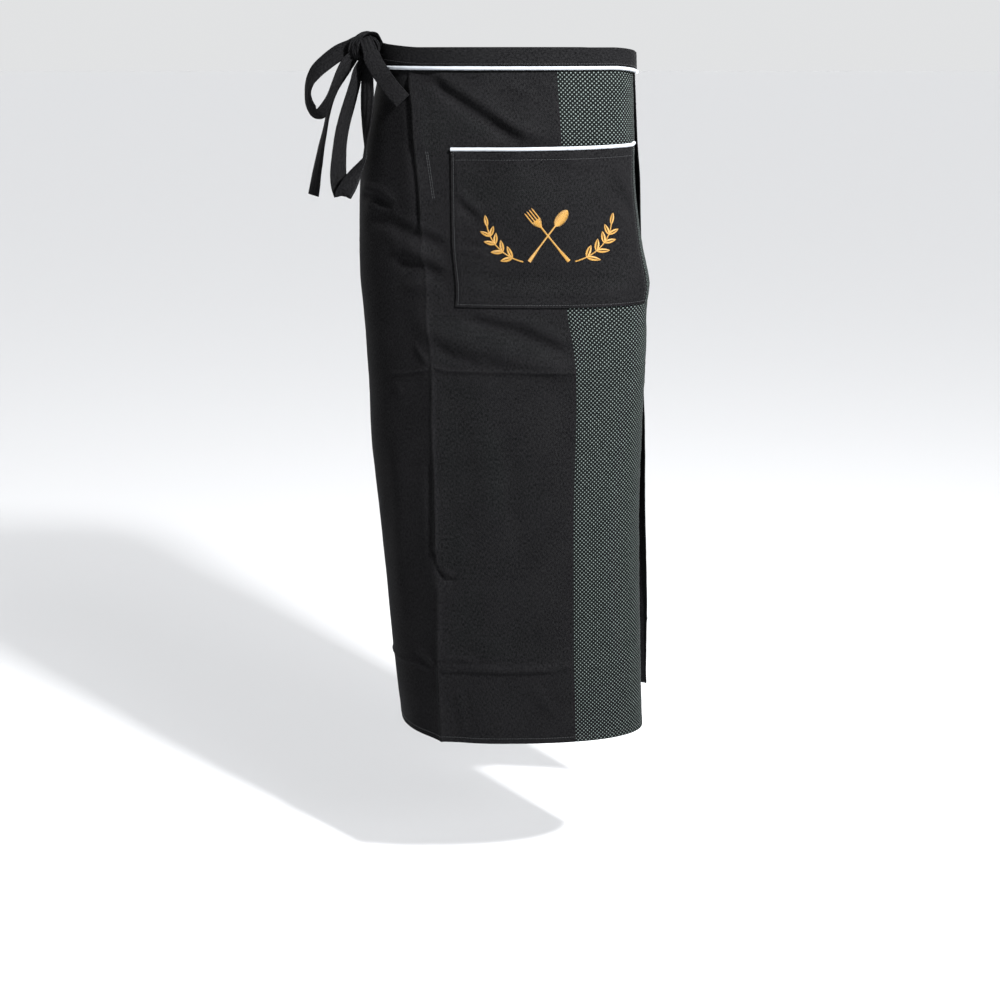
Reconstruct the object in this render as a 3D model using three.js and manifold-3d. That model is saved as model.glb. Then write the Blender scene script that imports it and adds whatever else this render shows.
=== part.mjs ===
// Bistro apron, worn: a long wrap of twill cloth that keeps the form of the body it hangs on.
// Millimetres, +Z up, front towards -Y. The origin is the centre of the waist hollow at the
// middle of the waistband. Cloth is measured as a distance from the front free edge, round the
// front, the left side and the back, to the back free edge; a slit is left at the right side.
import * as THREE from 'three';
import { mergeVertices } from 'three/addons/utils/BufferGeometryUtils.js';
import Module from 'manifold-3d';

const wasm = await Module();
wasm.setup();

// Sizes of the worn form: half widths and depths of the section at three heights
const waist = { halfWidth: 155, front: 105, back: 105 };
const hips = { halfWidth: 180, front: 118, back: 123 };
const hem = { halfWidth: 160, front: 121, back: 127 };
const squareness = 2.3;
const apronLength = 867;

// Sizes of the cut pieces
const bandHeight = 20;
const backEndDrop = 6;
const frontEndDrop = 4.5;
const stripWidth = 118;
const pocketWidth = 224;
const pocketHeight = 184;
const pocketDrop = 118;
const pocketInset = 28;
const pocketGape = 9;
const clothThickness = 1.5;
const bandThickness = 2.4;
const pipingDiameter = 4.2;
const pipingOverhang = 3;

// Sizes of the ties and the bow
const tieWidth = 21;
const tieThickness = 1.6;
const tieRootLength = 32;
const tieLift = 0.8;
const tieRise = 5;
const knotSize = { along: 36, out: 30, high: 32 };
const knotDistance = 362;
const knotRise = 13;
const bowReach = 80;
const bowDrop = 180;

// Clearance between touching pieces
const gap = 0.3;

// Finishes
const finish = {
  twill: { color: 0x232325, roughness: 0.9, metalness: 0 },
  dottedTwill: { color: 0x3b3f40, roughness: 0.88, metalness: 0 },
  band: { color: 0x2c2c2e, roughness: 0.88, metalness: 0 },
  piping: { color: 0xf0f3f5, roughness: 0.7, metalness: 0 },
};

// The worn form, one row for each section from the band's top to the hem. down is a share of the
// apron's length. left, edge and flap are the reach of the left side, the front free edge and the
// back free edge, as shares of the half width of the row's girth. front and back are shares of its
// depths, and edgeBack and flapBack are how far back the two free edges stand. slack is the cloth
// that the curled free edge takes up, as a share of the dotted strip's width.
const sections = [
  [0.000, waist, 0.995, 0.985, -0.21, 1.012, 0.06, 1.00, 1.00, 0.15],
  [0.035, waist, 1.020, 0.990, -0.21, 1.022, 0.08, 1.01, 1.03, 0.15],
  [0.115, hips, 0.965, 0.866, -0.20, 0.906, 0.12, 0.945, 0.95, 0.15],
  [0.187, hips, 1.016, 0.878, -0.22, 0.939, 0.20, 0.98, 1.02, 0.16],
  [0.267, hips, 1.029, 0.930, -0.25, 0.961, 0.28, 1.00, 1.04, 0.20],
  [0.326, hips, 1.028, 0.989, -0.27, 0.978, 0.34, 1.00, 1.04, 0.22],
  [0.360, hips, 1.015, 0.975, -0.28, 0.985, 0.38, 1.00, 1.03, 0.20],
  [0.412, hips, 1.000, 0.974, -0.30, 0.997, 0.42, 1.01, 1.02, 0.12],
  [0.479, hips, 0.986, 0.964, -0.32, 1.011, 0.49, 1.01, 1.02, 0.06],
  [0.561, hips, 0.978, 0.950, -0.34, 1.033, 0.57, 1.02, 1.02, 0.04],
  [0.658, hem, 1.050, 1.059, -0.35, 1.184, 0.64, 1.00, 1.00, 0.03],
  [0.761, hem, 1.000, 1.072, -0.36, 1.206, 0.72, 1.00, 1.00, 0.03],
  [0.865, hem, 0.956, 1.091, -0.38, 1.228, 0.80, 1.00, 1.00, 0.03],
  [1.000, hem, 0.880, 1.125, -0.40, 1.244, 0.88, 1.00, 1.00, 0.03],
].map(([down, girth, left, edge, edgeBack, flap, flapBack, front, back, slack]) => (
  { down, girth, left, edge, edgeBack, flap, flapBack, front, back, slack }));

// Folds and creases of the worn cloth. across and down say where each end lies, as shares of the
// wrap's width and of the apron's length; height stands out of the cloth, or into it below zero,
// and width is the fold's half width, both as shares of the tie's width.
const folds = [
  { name: 'pressed crease', from: [0.360, 0.04], to: [0.345, 1.00], width: 0.75, height: 0.14 },
  { name: 'drag valley', from: [0.319, 0.03], to: [0.200, 0.120], width: 0.50, height: -0.16 },
  { name: 'drag ridge', from: [0.293, 0.03], to: [0.170, 0.118], width: 0.55, height: 0.14 },
  { name: 'hip valley', from: [0.409, 0.222], to: [0.306, 0.265], width: 0.70, height: -0.16 },
  { name: 'hip ridge', from: [0.400, 0.245], to: [0.306, 0.290], width: 0.70, height: 0.14 },
  { name: 'lower hip valley', from: [0.372, 0.290], to: [0.306, 0.305], width: 0.60, height: -0.12 },
  { name: 'ridge under the pocket', from: [0.338, 0.355], to: [0.150, 0.418], width: 0.75, height: 0.12 },
  { name: 'valley under the ridge', from: [0.260, 0.375], to: [0.150, 0.435], width: 0.50, height: -0.10 },
  { name: 'back hang', from: [0.720, 0.200], to: [0.700, 1.00], width: 1.80, height: 0.28 },
  { name: 'back hollow', from: [0.620, 0.260], to: [0.600, 1.00], width: 1.80, height: -0.24 },
];

// Routes of the bow's strands, from the knot's middle outwards. across, down and front are shares
// of the bow's reach, of its drop and of the tie's width; turn is the tape's turn from lying flat
// to the front, in degrees.
const shortLoopRoute = [
  { across: 0.00, down: 0.00, front: 0.00, turn: 10 },
  { across: 0.23, down: -0.01, front: 0.00, turn: 15 },
  { across: 0.448, down: 0.055, front: 0.00, turn: 20 },
  { across: 0.648, down: 0.124, front: 0.00, turn: 25 },
  { across: 0.819, down: 0.189, front: -0.05, turn: 42 },
  { across: 0.923, down: 0.251, front: -0.10, turn: 66 },
  { across: 0.957, down: 0.301, front: -0.10, turn: 74 },
  { across: 0.934, down: 0.346, front: 0.00, turn: 66 },
  { across: 0.865, down: 0.395, front: 0.14, turn: 58 },
  { across: 0.755, down: 0.424, front: 0.33, turn: 62 },
  { across: 0.652, down: 0.387, front: 0.45, turn: 68 },
  { across: 0.581, down: 0.335, front: 0.45, turn: 70 },
  { across: 0.518, down: 0.282, front: 0.45, turn: 66 },
  { across: 0.456, down: 0.230, front: 0.42, turn: 58 },
  { across: 0.378, down: 0.172, front: 0.38, turn: 50 },
  { across: 0.290, down: 0.105, front: 0.26, turn: 44 },
  { across: 0.000, down: 0.000, front: 0.00, turn: 40 },
];
const hangingTailRoute = [
  { across: 0.02, down: 0.030, front: -0.30, turn: 10 },
  { across: 0.25, down: 0.070, front: -0.78, turn: 25 },
  { across: 0.408, down: 0.161, front: -1.00, turn: 50 },
  { across: 0.523, down: 0.266, front: -1.05, turn: 68 },
  { across: 0.613, down: 0.372, front: -1.00, turn: 78 },
  { across: 0.677, down: 0.478, front: -0.85, turn: 78 },
  { across: 0.719, down: 0.571, front: -0.75, turn: 74 },
  { across: 0.768, down: 0.664, front: -0.65, turn: 66 },
  { across: 0.811, down: 0.758, front: -0.60, turn: 60 },
  { across: 0.854, down: 0.852, front: -0.55, turn: 54 },
  { across: 0.889, down: 0.946, front: -0.50, turn: 48 },
  { across: 0.907, down: 0.990, front: -0.50, turn: 46 },
];
const longLoopRoute = [
  { across: 0.00, down: 0.00, front: 0.00, turn: -50 },
  { across: 0.172, down: 0.107, front: 0.35, turn: -52 },
  { across: 0.211, down: 0.211, front: 0.60, turn: -48 },
  { across: 0.258, down: 0.315, front: 0.72, turn: -46 },
  { across: 0.306, down: 0.406, front: 0.80, turn: -46 },
  { across: 0.363, down: 0.497, front: 0.85, turn: -46 },
  { across: 0.419, down: 0.589, front: 0.90, turn: -46 },
  { across: 0.455, down: 0.682, front: 0.90, turn: -44 },
  { across: 0.490, down: 0.775, front: 0.90, turn: -36 },
  { across: 0.524, down: 0.848, front: 0.90, turn: -22 },
  { across: 0.511, down: 0.908, front: 0.92, turn: -10 },
  { across: 0.436, down: 0.948, front: 0.95, turn: -4 },
  { across: 0.335, down: 0.940, front: 1.00, turn: -6 },
  { across: 0.255, down: 0.887, front: 1.08, turn: -24 },
  { across: 0.205, down: 0.832, front: 1.20, turn: -46 },
  { across: 0.147, down: 0.778, front: 1.34, turn: -64 },
  { across: 0.080, down: 0.718, front: 1.48, turn: -78 },
  { across: 0.053, down: 0.632, front: 1.52, turn: -100 },
  { across: 0.033, down: 0.533, front: 1.52, turn: -122 },
  { across: 0.022, down: 0.429, front: 1.46, turn: -136 },
  { across: 0.015, down: 0.328, front: 1.30, turn: -142 },
  { across: 0.010, down: 0.235, front: 1.05, turn: -136 },
  { across: 0.005, down: 0.140, front: 0.70, turn: -128 },
  { across: 0.000, down: 0.000, front: 0.00, turn: -120 },
];
const frontTailRoute = [
  { across: 0.100, down: -0.070, front: 0.20, turn: 0 },
  { across: 0.030, down: -0.010, front: 0.62, turn: 0 },
  { across: -0.030, down: 0.050, front: 1.02, turn: 0 },
  { across: -0.110, down: 0.116, front: 1.35, turn: 0 },
  { across: -0.222, down: 0.182, front: 1.65, turn: 0 },
  { across: -0.359, down: 0.259, front: 1.95, turn: 0 },
  { across: -0.540, down: 0.344, front: 2.30, turn: 0 },
];

// Small helpers
const clamp01 = (value) => Math.min(1, Math.max(0, value));
const smooth = (value) => clamp01(value) ** 2 * (3 - 2 * clamp01(value));
const mix = (a, b, share) => a + (b - a) * share;
const pipingRadius = pipingDiameter / 2;
const bandTop = bandHeight / 2;
const downAt = (z) => (bandTop - z) / apronLength;

// Each list holds lengths that divide the stretch into equal steps, with both ends.
function steps(from, to, count) {
  return Array.from({ length: count + 1 }, (_, index) => mix(from, to, index / count));
}

// Reads one column of the section table at a height, smoothly through its rows.
function sectionValue(down, read) {
  const count = sections.length;
  const place = Math.min(1, Math.max(0, down));
  let index = 0;
  while (index < count - 2 && sections[index + 1].down < place) {
    index += 1;
  }
  const row = (step) => sections[Math.min(count - 1, Math.max(0, index + step))];
  const share = (place - row(0).down) / (row(1).down - row(0).down);
  const slope = (a, b) => (read(b) - read(a)) / (b.down - a.down || 1);
  const length = row(1).down - row(0).down;
  const startSlope = index === 0 ? slope(row(0), row(1)) : slope(row(-1), row(1));
  const endSlope = index >= count - 2 ? slope(row(0), row(1)) : slope(row(0), row(2));
  const s2 = share * share;
  const s3 = s2 * share;
  return (2 * s3 - 3 * s2 + 1) * read(row(0)) + (s3 - 2 * s2 + share) * length * startSlope
    + (3 * s2 - 2 * s3) * read(row(1)) + (s3 - s2) * length * endSlope;
}

// The sizes of the section at one height
function sectionSizes(down) {
  return {
    left: sectionValue(down, (row) => row.left * row.girth.halfWidth),
    edge: sectionValue(down, (row) => row.edge * row.girth.halfWidth),
    edgeBack: sectionValue(down, (row) => row.edgeBack * row.girth.front),
    flap: sectionValue(down, (row) => row.flap * row.girth.halfWidth),
    flapBack: sectionValue(down, (row) => row.flapBack * row.girth.back),
    front: sectionValue(down, (row) => row.front * row.girth.front),
    back: sectionValue(down, (row) => row.back * row.girth.back),
    slack: sectionValue(down, (row) => row.slack * stripWidth),
  };
}

// The section's outline: four rounded quarters, from the front free edge to the back free edge.
const quarterSteps = 40;
function quarter(centreY, reachX, reachY, fromSide) {
  return steps(0, Math.PI / 2, quarterSteps).map((angle) => {
    const turn = fromSide ? angle : Math.PI / 2 - angle;
    const x = reachX * Math.cos(turn) ** (2 / squareness);
    const y = centreY + reachY * Math.sin(turn) ** (2 / squareness);
    return new THREE.Vector2(x, y);
  });
}

const outlineStore = new Map();
function outlineAt(z) {
  const down = clamp01(downAt(z));
  const key = down.toFixed(6);
  if (!outlineStore.has(key)) {
    const size = sectionSizes(down);
    const quarters = [
      quarter(size.edgeBack, size.edge, -size.front - size.edgeBack, true),
      quarter(0, -size.left, -size.front, false),
      quarter(0, -size.left, size.back, true),
      quarter(size.flapBack, size.flap, size.back - size.flapBack, false),
    ];
    const points = quarters.flatMap((list, index) => (index === 0 ? list : list.slice(1)));
    const along = [0];
    for (let index = 1; index < points.length; index += 1) {
      along.push(along[index - 1] + points[index].distanceTo(points[index - 1]));
    }
    outlineStore.set(key, { points, along, length: along[along.length - 1], slack: size.slack });
  }
  return outlineStore.get(key);
}

const wrapWidth = outlineAt(bandTop - apronLength).length;

// The front and the left side lie as cut; the back takes up what the section has more or less.
const backShare = 0.55;
const backStart = backShare * wrapWidth;
function outlineDistance(outline, distance) {
  const spare = outline.length - wrapWidth;
  const share = smooth((distance - backStart) / (wrapWidth - backStart));
  return distance + outline.slack * smooth(distance / stripWidth) * (1 - share) + spare * share;
}

// Point and outward direction on the outline, also a little past either free edge
function outlinePoint(distance, z) {
  const outline = outlineAt(z);
  const target = outlineDistance(outline, distance);
  const { points, along } = outline;
  const last = points.length - 1;
  let index = 1;
  while (index < last && along[index] < target) {
    index += 1;
  }
  const before = points[index - 1];
  const after = points[index];
  const share = (target - along[index - 1]) / (along[index] - along[index - 1]);
  const place = before.clone().lerp(after, share);
  const heading = (a, b) => points[Math.min(last, b)].clone().sub(points[Math.max(0, a)]).normalize();
  const tangent = heading(index - 2, index).lerp(heading(index - 1, index + 1), clamp01(share));
  tangent.normalize();
  return { x: place.x, y: place.y, out: new THREE.Vector2(tangent.y, -tangent.x).negate() };
}

// Height of one fold above the plain form
function foldHeight(fold, across, down) {
  const start = new THREE.Vector2(fold.from[0] * wrapWidth, fold.from[1] * apronLength);
  const end = new THREE.Vector2(fold.to[0] * wrapWidth, fold.to[1] * apronLength);
  const place = new THREE.Vector2(across * wrapWidth, down * apronLength);
  const run = end.clone().sub(start);
  const share = place.clone().sub(start).dot(run) / run.lengthSq();
  const nearest = start.clone().addScaledVector(run, clamp01(share));
  const aside = place.distanceTo(nearest) / (fold.width * tieWidth);
  return fold.height * tieWidth * Math.exp(-aside * aside);
}

// All folds together: they fade out at the band, and under the pocket where it is sewn down
const bandFade = 0.05;
function foldSum(distance, z) {
  const down = downAt(z);
  const across = distance / wrapWidth;
  const sum = folds.reduce((total, fold) => total + foldHeight(fold, across, down), 0);
  return sum * smooth((down - bandTop / apronLength) / bandFade) * pocketCalm(distance, z);
}

// The pocket keeps the cloth behind it flat: 0 behind it, 1 well away from it.
const pocketTop = -pocketDrop + bandTop;
const pocketBottom = pocketTop - pocketHeight;
const pocketEnd = pocketInset + pocketWidth;
function pocketCalm(distance, z) {
  const margin = tieWidth;
  const aside = Math.max(distance - pocketEnd, 0) / margin;
  const above = Math.max(z - pocketTop, 0) / margin;
  const below = Math.max(pocketBottom - z, 0) / margin;
  return smooth(Math.hypot(aside, above, below));
}

// How far the wrap sinks towards its back end, where the band sits lower on the body, and towards
// its front end, where the free edge sags from the band down to the pocket's bottom
const dropShare = 0.15;
const frontDropShare = 0.5;
function endDrop(distance, z) {
  const towardsBack = smooth((distance / wrapWidth - 1 + dropShare) / dropShare);
  const towardsFront = smooth(1 - distance / (stripWidth * frontDropShare));
  const abovePocket = smooth((z - pocketBottom) / pocketHeight);
  return backEndDrop * towardsBack + frontEndDrop * towardsFront * abovePocket;
}

// A point of the worn cloth, at an offset out of its face
function clothPoint(distance, z, offset) {
  const place = outlinePoint(distance, z);
  const stand = offset + foldSum(distance, z);
  return new THREE.Vector3(
    place.x + place.out.x * stand,
    place.y + place.out.y * stand,
    z - endDrop(distance, z),
  );
}

// Closed wall between two faces that share one grid of columns and rows. Columns run in the
// direction of distance and rows downwards.
function wallGeometry(columns, rows, outer, inner) {
  const positions = [];
  const triangles = [];
  const wide = columns.length;
  const high = rows.length;
  [outer, inner].forEach((face) => {
    rows.forEach((row) => {
      columns.forEach((column) => positions.push(...face(column, row).toArray()));
    });
  });
  const at = (face, column, row) => face * wide * high + row * wide + column;
  const quad = (a, b, c, d) => triangles.push(a, b, c, a, c, d);
  for (let row = 0; row < high - 1; row += 1) {
    for (let column = 0; column < wide - 1; column += 1) {
      const next = [column + 1, row + 1];
      quad(at(0, column, row), at(0, next[0], row), at(0, next[0], next[1]), at(0, column, next[1]));
      triangles.push(at(1, column, row), at(1, next[0], next[1]), at(1, next[0], row));
      triangles.push(at(1, column, row), at(1, column, next[1]), at(1, next[0], next[1]));
    }
  }
  for (let column = 0; column < wide - 1; column += 1) {
    const low = high - 1;
    quad(at(1, column, 0), at(1, column + 1, 0), at(0, column + 1, 0), at(0, column, 0));
    quad(at(0, column, low), at(0, column + 1, low), at(1, column + 1, low), at(1, column, low));
  }
  for (let row = 0; row < high - 1; row += 1) {
    const end = wide - 1;
    quad(at(1, 0, row), at(0, 0, row), at(0, 0, row + 1), at(1, 0, row + 1));
    quad(at(0, end, row), at(1, end, row), at(1, end, row + 1), at(0, end, row + 1));
  }
  return closedGeometry(positions, triangles);
}

// Closed solid swept through stations; each station is a ring of points, all of one count.
function sweepGeometry(rings) {
  const positions = rings.flatMap((ring) => ring.flatMap((point) => point.toArray()));
  const sides = rings[0].length;
  const triangles = [];
  const at = (ring, side) => ring * sides + (side % sides);
  for (let ring = 0; ring < rings.length - 1; ring += 1) {
    for (let side = 0; side < sides; side += 1) {
      triangles.push(at(ring, side), at(ring, side + 1), at(ring + 1, side + 1));
      triangles.push(at(ring, side), at(ring + 1, side + 1), at(ring + 1, side));
    }
  }
  const last = rings.length - 1;
  for (let side = 1; side < sides - 1; side += 1) {
    triangles.push(at(0, 0), at(0, side + 1), at(0, side));
    triangles.push(at(last, 0), at(last, side), at(last, side + 1));
  }
  return closedGeometry(positions, triangles);
}

// Turns the faces outwards if the volume comes out below zero
function closedGeometry(positions, triangles) {
  const geometry = new THREE.BufferGeometry();
  const corner = (index) => new THREE.Vector3().fromArray(positions, 3 * index);
  let volume = 0;
  for (let index = 0; index < triangles.length; index += 3) {
    const [a, b, c] = [0, 1, 2].map((step) => corner(triangles[index + step]));
    volume += a.dot(b.cross(c));
  }
  const order = volume < 0 ? triangles.slice().reverse() : triangles;
  geometry.setAttribute('position', new THREE.Float32BufferAttribute(positions, 3));
  geometry.setIndex(order);
  return geometry;
}

function toManifold(geometry) {
  const bare = geometry.clone();
  bare.deleteAttribute('normal');
  bare.deleteAttribute('uv');
  const merged = mergeVertices(bare, 1e-4);
  return new wasm.Manifold(new wasm.Mesh({
    numProp: 3,
    vertProperties: new Float32Array(merged.attributes.position.array),
    triVerts: new Uint32Array(merged.index.array),
  }));
}

function fromManifold(solid) {
  const mesh = solid.getMesh();
  const geometry = new THREE.BufferGeometry();
  geometry.setAttribute('position', new THREE.Float32BufferAttribute(mesh.vertProperties, 3));
  geometry.setIndex(Array.from(mesh.triVerts));
  return geometry;
}

// Tape sections: four corners round a middle point, with the tape's width across and its
// thickness along out
function tapeRing(middle, across, out, width, thickness) {
  const corners = [[-1, -1], [1, -1], [1, 1], [-1, 1]];
  return corners.map(([a, b]) => middle.clone()
    .addScaledVector(across, a * width / 2)
    .addScaledVector(out, b * thickness / 2));
}

const up = new THREE.Vector3(0, 0, 1);
const back = new THREE.Vector3(0, 1, 0);
const outward = (out) => new THREE.Vector3(out.x, out.y, 0);

// Columns and rows that the pieces share, so that faces which lie on each other stay parallel
const tieStart = wrapWidth - tieRootLength;
const stripColumns = [...steps(0, pocketInset, 4).slice(0, -1), ...steps(pocketInset, stripWidth, 4)];
const frontColumns = steps(stripWidth, pocketEnd, 7);
const sideColumns = steps(pocketEnd, backStart, 11).slice(1);
const backColumns = [...steps(backStart, tieStart, 12).slice(1), wrapWidth];
const mainColumns = [...frontColumns, ...sideColumns, ...backColumns];
const allColumns = [...stripColumns, ...mainColumns.slice(1)];
const panelTop = -bandTop - gap;
const panelBottom = bandTop - apronLength;
const pocketRows = steps(pocketTop, pocketBottom, 8);
const waistPipingZ = -bandTop - gap - pipingRadius;
const pocketPipingZ = pocketTop + gap + pipingRadius;
const panelRows = [
  panelTop,
  ...steps(waistPipingZ, pocketPipingZ, 4),
  ...pocketRows,
  ...steps(pocketBottom, panelBottom, 19).slice(1),
];

// Panels: the dotted strip and the wide panel meet at a seam with a small gap
function dottedPanel() {
  const columns = stripColumns.slice();
  columns[columns.length - 1] -= gap;
  return wallGeometry(
    columns,
    panelRows,
    (distance, z) => clothPoint(distance, z, 0),
    (distance, z) => clothPoint(distance, z, -clothThickness),
  );
}

function mainPanel() {
  return wallGeometry(
    mainColumns,
    panelRows,
    (distance, z) => clothPoint(distance, z, 0),
    (distance, z) => clothPoint(distance, z, -clothThickness),
  );
}

// Waistband: a folded strip that sits on the panels' top edge
const bandOuter = (bandThickness - clothThickness) / 2;
const bandInner = bandOuter - bandThickness;
function waistband() {
  const rows = [bandTop, -bandTop];
  return wallGeometry(
    allColumns,
    rows,
    (distance, z) => clothPoint(distance, z, bandOuter),
    (distance, z) => clothPoint(distance, z, bandInner),
  );
}

// Piping: a round cord in a seam, its middle at an offset out of the cloth's face
const pipingSides = 6;
function pipingGeometry(columns, middleAt) {
  const rings = columns.map((distance) => {
    const { middle, out } = middleAt(distance);
    return steps(0, 2 * Math.PI, pipingSides).slice(0, -1).map((angle) => middle.clone()
      .addScaledVector(out, pipingRadius * Math.cos(angle))
      .addScaledVector(up, pipingRadius * Math.sin(angle)));
  });
  return sweepGeometry(rings);
}

function waistPiping() {
  return pipingGeometry(allColumns, (distance) => ({
    middle: clothPoint(distance, waistPipingZ, pipingRadius + 2 * gap),
    out: outward(outlinePoint(distance, waistPipingZ).out),
  }));
}

// Pocket: a patch sewn down at three sides, standing off the panel towards its mouth
const pocketHem = 0.08;
const pocketRamp = 0.15;
const pocketClimb = 0.8;
function pocketStand(distance, z) {
  const across = (distance - pocketInset) / pocketWidth;
  const rise = (z - pocketBottom) / pocketHeight;
  const fromSide = smooth((across - pocketHem) / pocketRamp);
  const toSide = smooth((1 - pocketHem - across) / pocketRamp);
  return gap + pocketGape * fromSide * toSide * smooth((rise - pocketHem) / pocketClimb);
}

const pocketColumns = allColumns.filter((distance) => distance >= pocketInset && distance <= pocketEnd);
function pocket() {
  const face = (offset) => (distance, z) => clothPoint(distance, z, pocketStand(distance, z) + offset);
  return wallGeometry(pocketColumns, pocketRows, face(clothThickness), face(0));
}

function pocketPiping() {
  const columns = pocketColumns.slice();
  columns[0] -= pipingOverhang;
  return pipingGeometry(columns, (distance) => ({
    middle: clothPoint(distance, pocketPipingZ, pocketStand(distance, pocketTop) + pipingRadius + gap),
    out: outward(outlinePoint(distance, pocketPipingZ).out),
  }));
}

// Knot: a tight rounded lump seated on the band at the left hip
const knotSeat = outlinePoint(knotDistance, 0);
const knotOut = outward(knotSeat.out);
const knotMiddle = clothPoint(knotDistance, 0, bandOuter + gap + knotSize.out / 2);
knotMiddle.z = knotRise;

const knotSides = 16;
const knotRows = 10;
function knotGeometry(grow) {
  const geometry = new THREE.SphereGeometry(1, knotSides, knotRows);
  geometry.scale(knotSize.along / 2 + grow, knotSize.out / 2 + grow, knotSize.high / 2 + grow);
  geometry.rotateZ(Math.atan2(-knotOut.x, knotOut.y));
  geometry.translate(knotMiddle.x, knotMiddle.y, knotMiddle.z);
  return geometry;
}

const knotRoom = toManifold(knotGeometry(gap));
function clearOfKnot(geometry) {
  const pieces = toManifold(geometry).subtract(knotRoom).decompose();
  const largest = pieces.reduce((best, piece) => (piece.volume() > best.volume() ? piece : best));
  return fromManifold(largest);
}

// A station of a tie that lies flat on the band's face: its edges follow the face's slope
function bandStation(distance, offset, lift) {
  const inWrap = Math.min(wrapWidth, Math.max(0, distance));
  const low = clothPoint(inWrap, lift - tieWidth / 2, offset);
  const high = clothPoint(inWrap, lift + tieWidth / 2, offset);
  const middle = low.clone().lerp(high, 0.5);
  const across = high.clone().sub(low).normalize();
  const out = outward(outlinePoint(inWrap, lift).out);
  out.addScaledVector(across, -out.dot(across)).normalize();
  return { middle, across, out };
}

const tieRings = (stations) => stations.map((station) => (
  tapeRing(station.middle, station.across, station.out, tieWidth, tieThickness)));

// Ties lie this many gaps off the band, and the front tie climbs over its last stretch before the
// knot, as shares of the way to it
const tieGaps = 1.5;
const climbStart = 0.75;

// Front tie: sewn over the back band's end, across the slit and along the front band to the knot
function frontTie() {
  const offset = bandOuter + tieGaps * gap + tieThickness / 2;
  const root = [tieStart, wrapWidth].map((distance) => bandStation(distance, offset, tieLift));
  const run = allColumns.filter((distance) => distance < knotDistance)
    .concat(knotDistance)
    .map((distance) => {
      const rise = tieRise * smooth((distance / knotDistance - climbStart) / (1 - climbStart));
      return bandStation(distance, offset, tieLift + rise);
    });
  return clearOfKnot(sweepGeometry(tieRings([...root, ...run])));
}

// Back tie: sewn inside the front band's end, round the inside of the back, then turned flat over
// the band's top edge and into the knot. It leans over in leanSteps, and reaches out over the edge
// in the last reachSteps.
const backTieTurn = 0.56;
const turnSteps = 7;
const leanSteps = 5;
const reachSteps = 4;
function backTie() {
  const offset = bandInner - tieGaps * gap - tieThickness / 2;
  const rootColumns = allColumns.filter((distance) => distance < tieRootLength + tieWidth / 2);
  const turnStart = backTieTurn * wrapWidth;
  const runColumns = allColumns.filter((distance) => distance > turnStart);
  const flat = [...rootColumns.reverse(), ...runColumns.reverse()]
    .map((distance) => bandStation(distance, offset, -tieLift));
  const turnColumns = steps(turnStart, knotDistance + tieWidth, turnSteps);
  const climb = bandTop + tieLift + tieRise + tieThickness + gap;
  const over = turnColumns.map((distance, index) => {
    const lean = smooth(index / leanSteps);
    const reach = smooth((index - turnSteps + reachSteps) / reachSteps);
    const station = bandStation(distance, offset - bandThickness / 2, -tieLift);
    const shift = reach * (tieWidth / 2 + bandThickness) - lean * (1 - reach) * tieWidth / 2;
    station.middle.addScaledVector(station.out, shift);
    station.middle.z += lean * climb;
    const angle = lean * Math.PI / 2;
    const { across, out } = station;
    station.across = across.clone().multiplyScalar(Math.cos(angle)).addScaledVector(out, Math.sin(angle));
    station.out = out.clone().multiplyScalar(Math.cos(angle)).addScaledVector(across, -Math.sin(angle));
    return station;
  });
  const lastStation = over[over.length - 1];
  const into = { ...lastStation, middle: knotMiddle.clone() };
  return clearOfKnot(sweepGeometry(tieRings([...flat, ...over, into])));
}

// Bow strands: a smooth tape through a route. Where it would reach the cloth, it lies in front
// of the piping's line instead.
const strandRoom = pipingDiameter + 2 * gap;
function frontFace(x, z) {
  const size = sectionSizes(clamp01(downAt(z)));
  const reach = (x < 0 ? size.left : size.edge) + strandRoom;
  const share = Math.min(1, Math.abs(x) / reach);
  return -(size.front + strandRoom) * (1 - share ** squareness) ** (1 / squareness);
}

function clearOfCloth(ring) {
  const excess = Math.max(0, ...ring.map((corner) => corner.y - frontFace(corner.x, corner.z)));
  return ring.map((corner) => corner.setY(corner.y - excess));
}

const strandSteps = 2;
function strand(route) {
  const places = route.map((row) => new THREE.Vector3(
    knotMiddle.x - row.across * bowReach,
    knotMiddle.y - row.front * tieWidth,
    knotMiddle.z - row.down * bowDrop,
  ));
  const curve = new THREE.CatmullRomCurve3(places, false, 'centripetal');
  const count = (route.length - 1) * strandSteps;
  const rings = steps(0, count, count).map((step) => {
    const share = step / count;
    const middle = curve.getPoint(share);
    const tangent = curve.getTangent(share);
    const index = Math.min(route.length - 2, Math.floor(step / strandSteps));
    const turn = mix(route[index].turn, route[index + 1].turn, step / strandSteps - index);
    const angle = turn * Math.PI / 180;
    const flat = new THREE.Vector3(tangent.z, 0, -tangent.x).normalize();
    const across = flat.multiplyScalar(Math.cos(angle)).addScaledVector(back, Math.sin(angle));
    across.addScaledVector(tangent, -across.dot(tangent)).normalize();
    const out = tangent.clone().cross(across).normalize();
    return clearOfCloth(tapeRing(middle, across, out, tieWidth, tieThickness));
  });
  return clearOfKnot(sweepGeometry(rings));
}

// The assembly
const apron = new THREE.Group();
function addPiece(name, geometry, material) {
  const mesh = new THREE.Mesh(geometry, new THREE.MeshStandardMaterial(material));
  mesh.name = name;
  apron.add(mesh);
}

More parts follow.
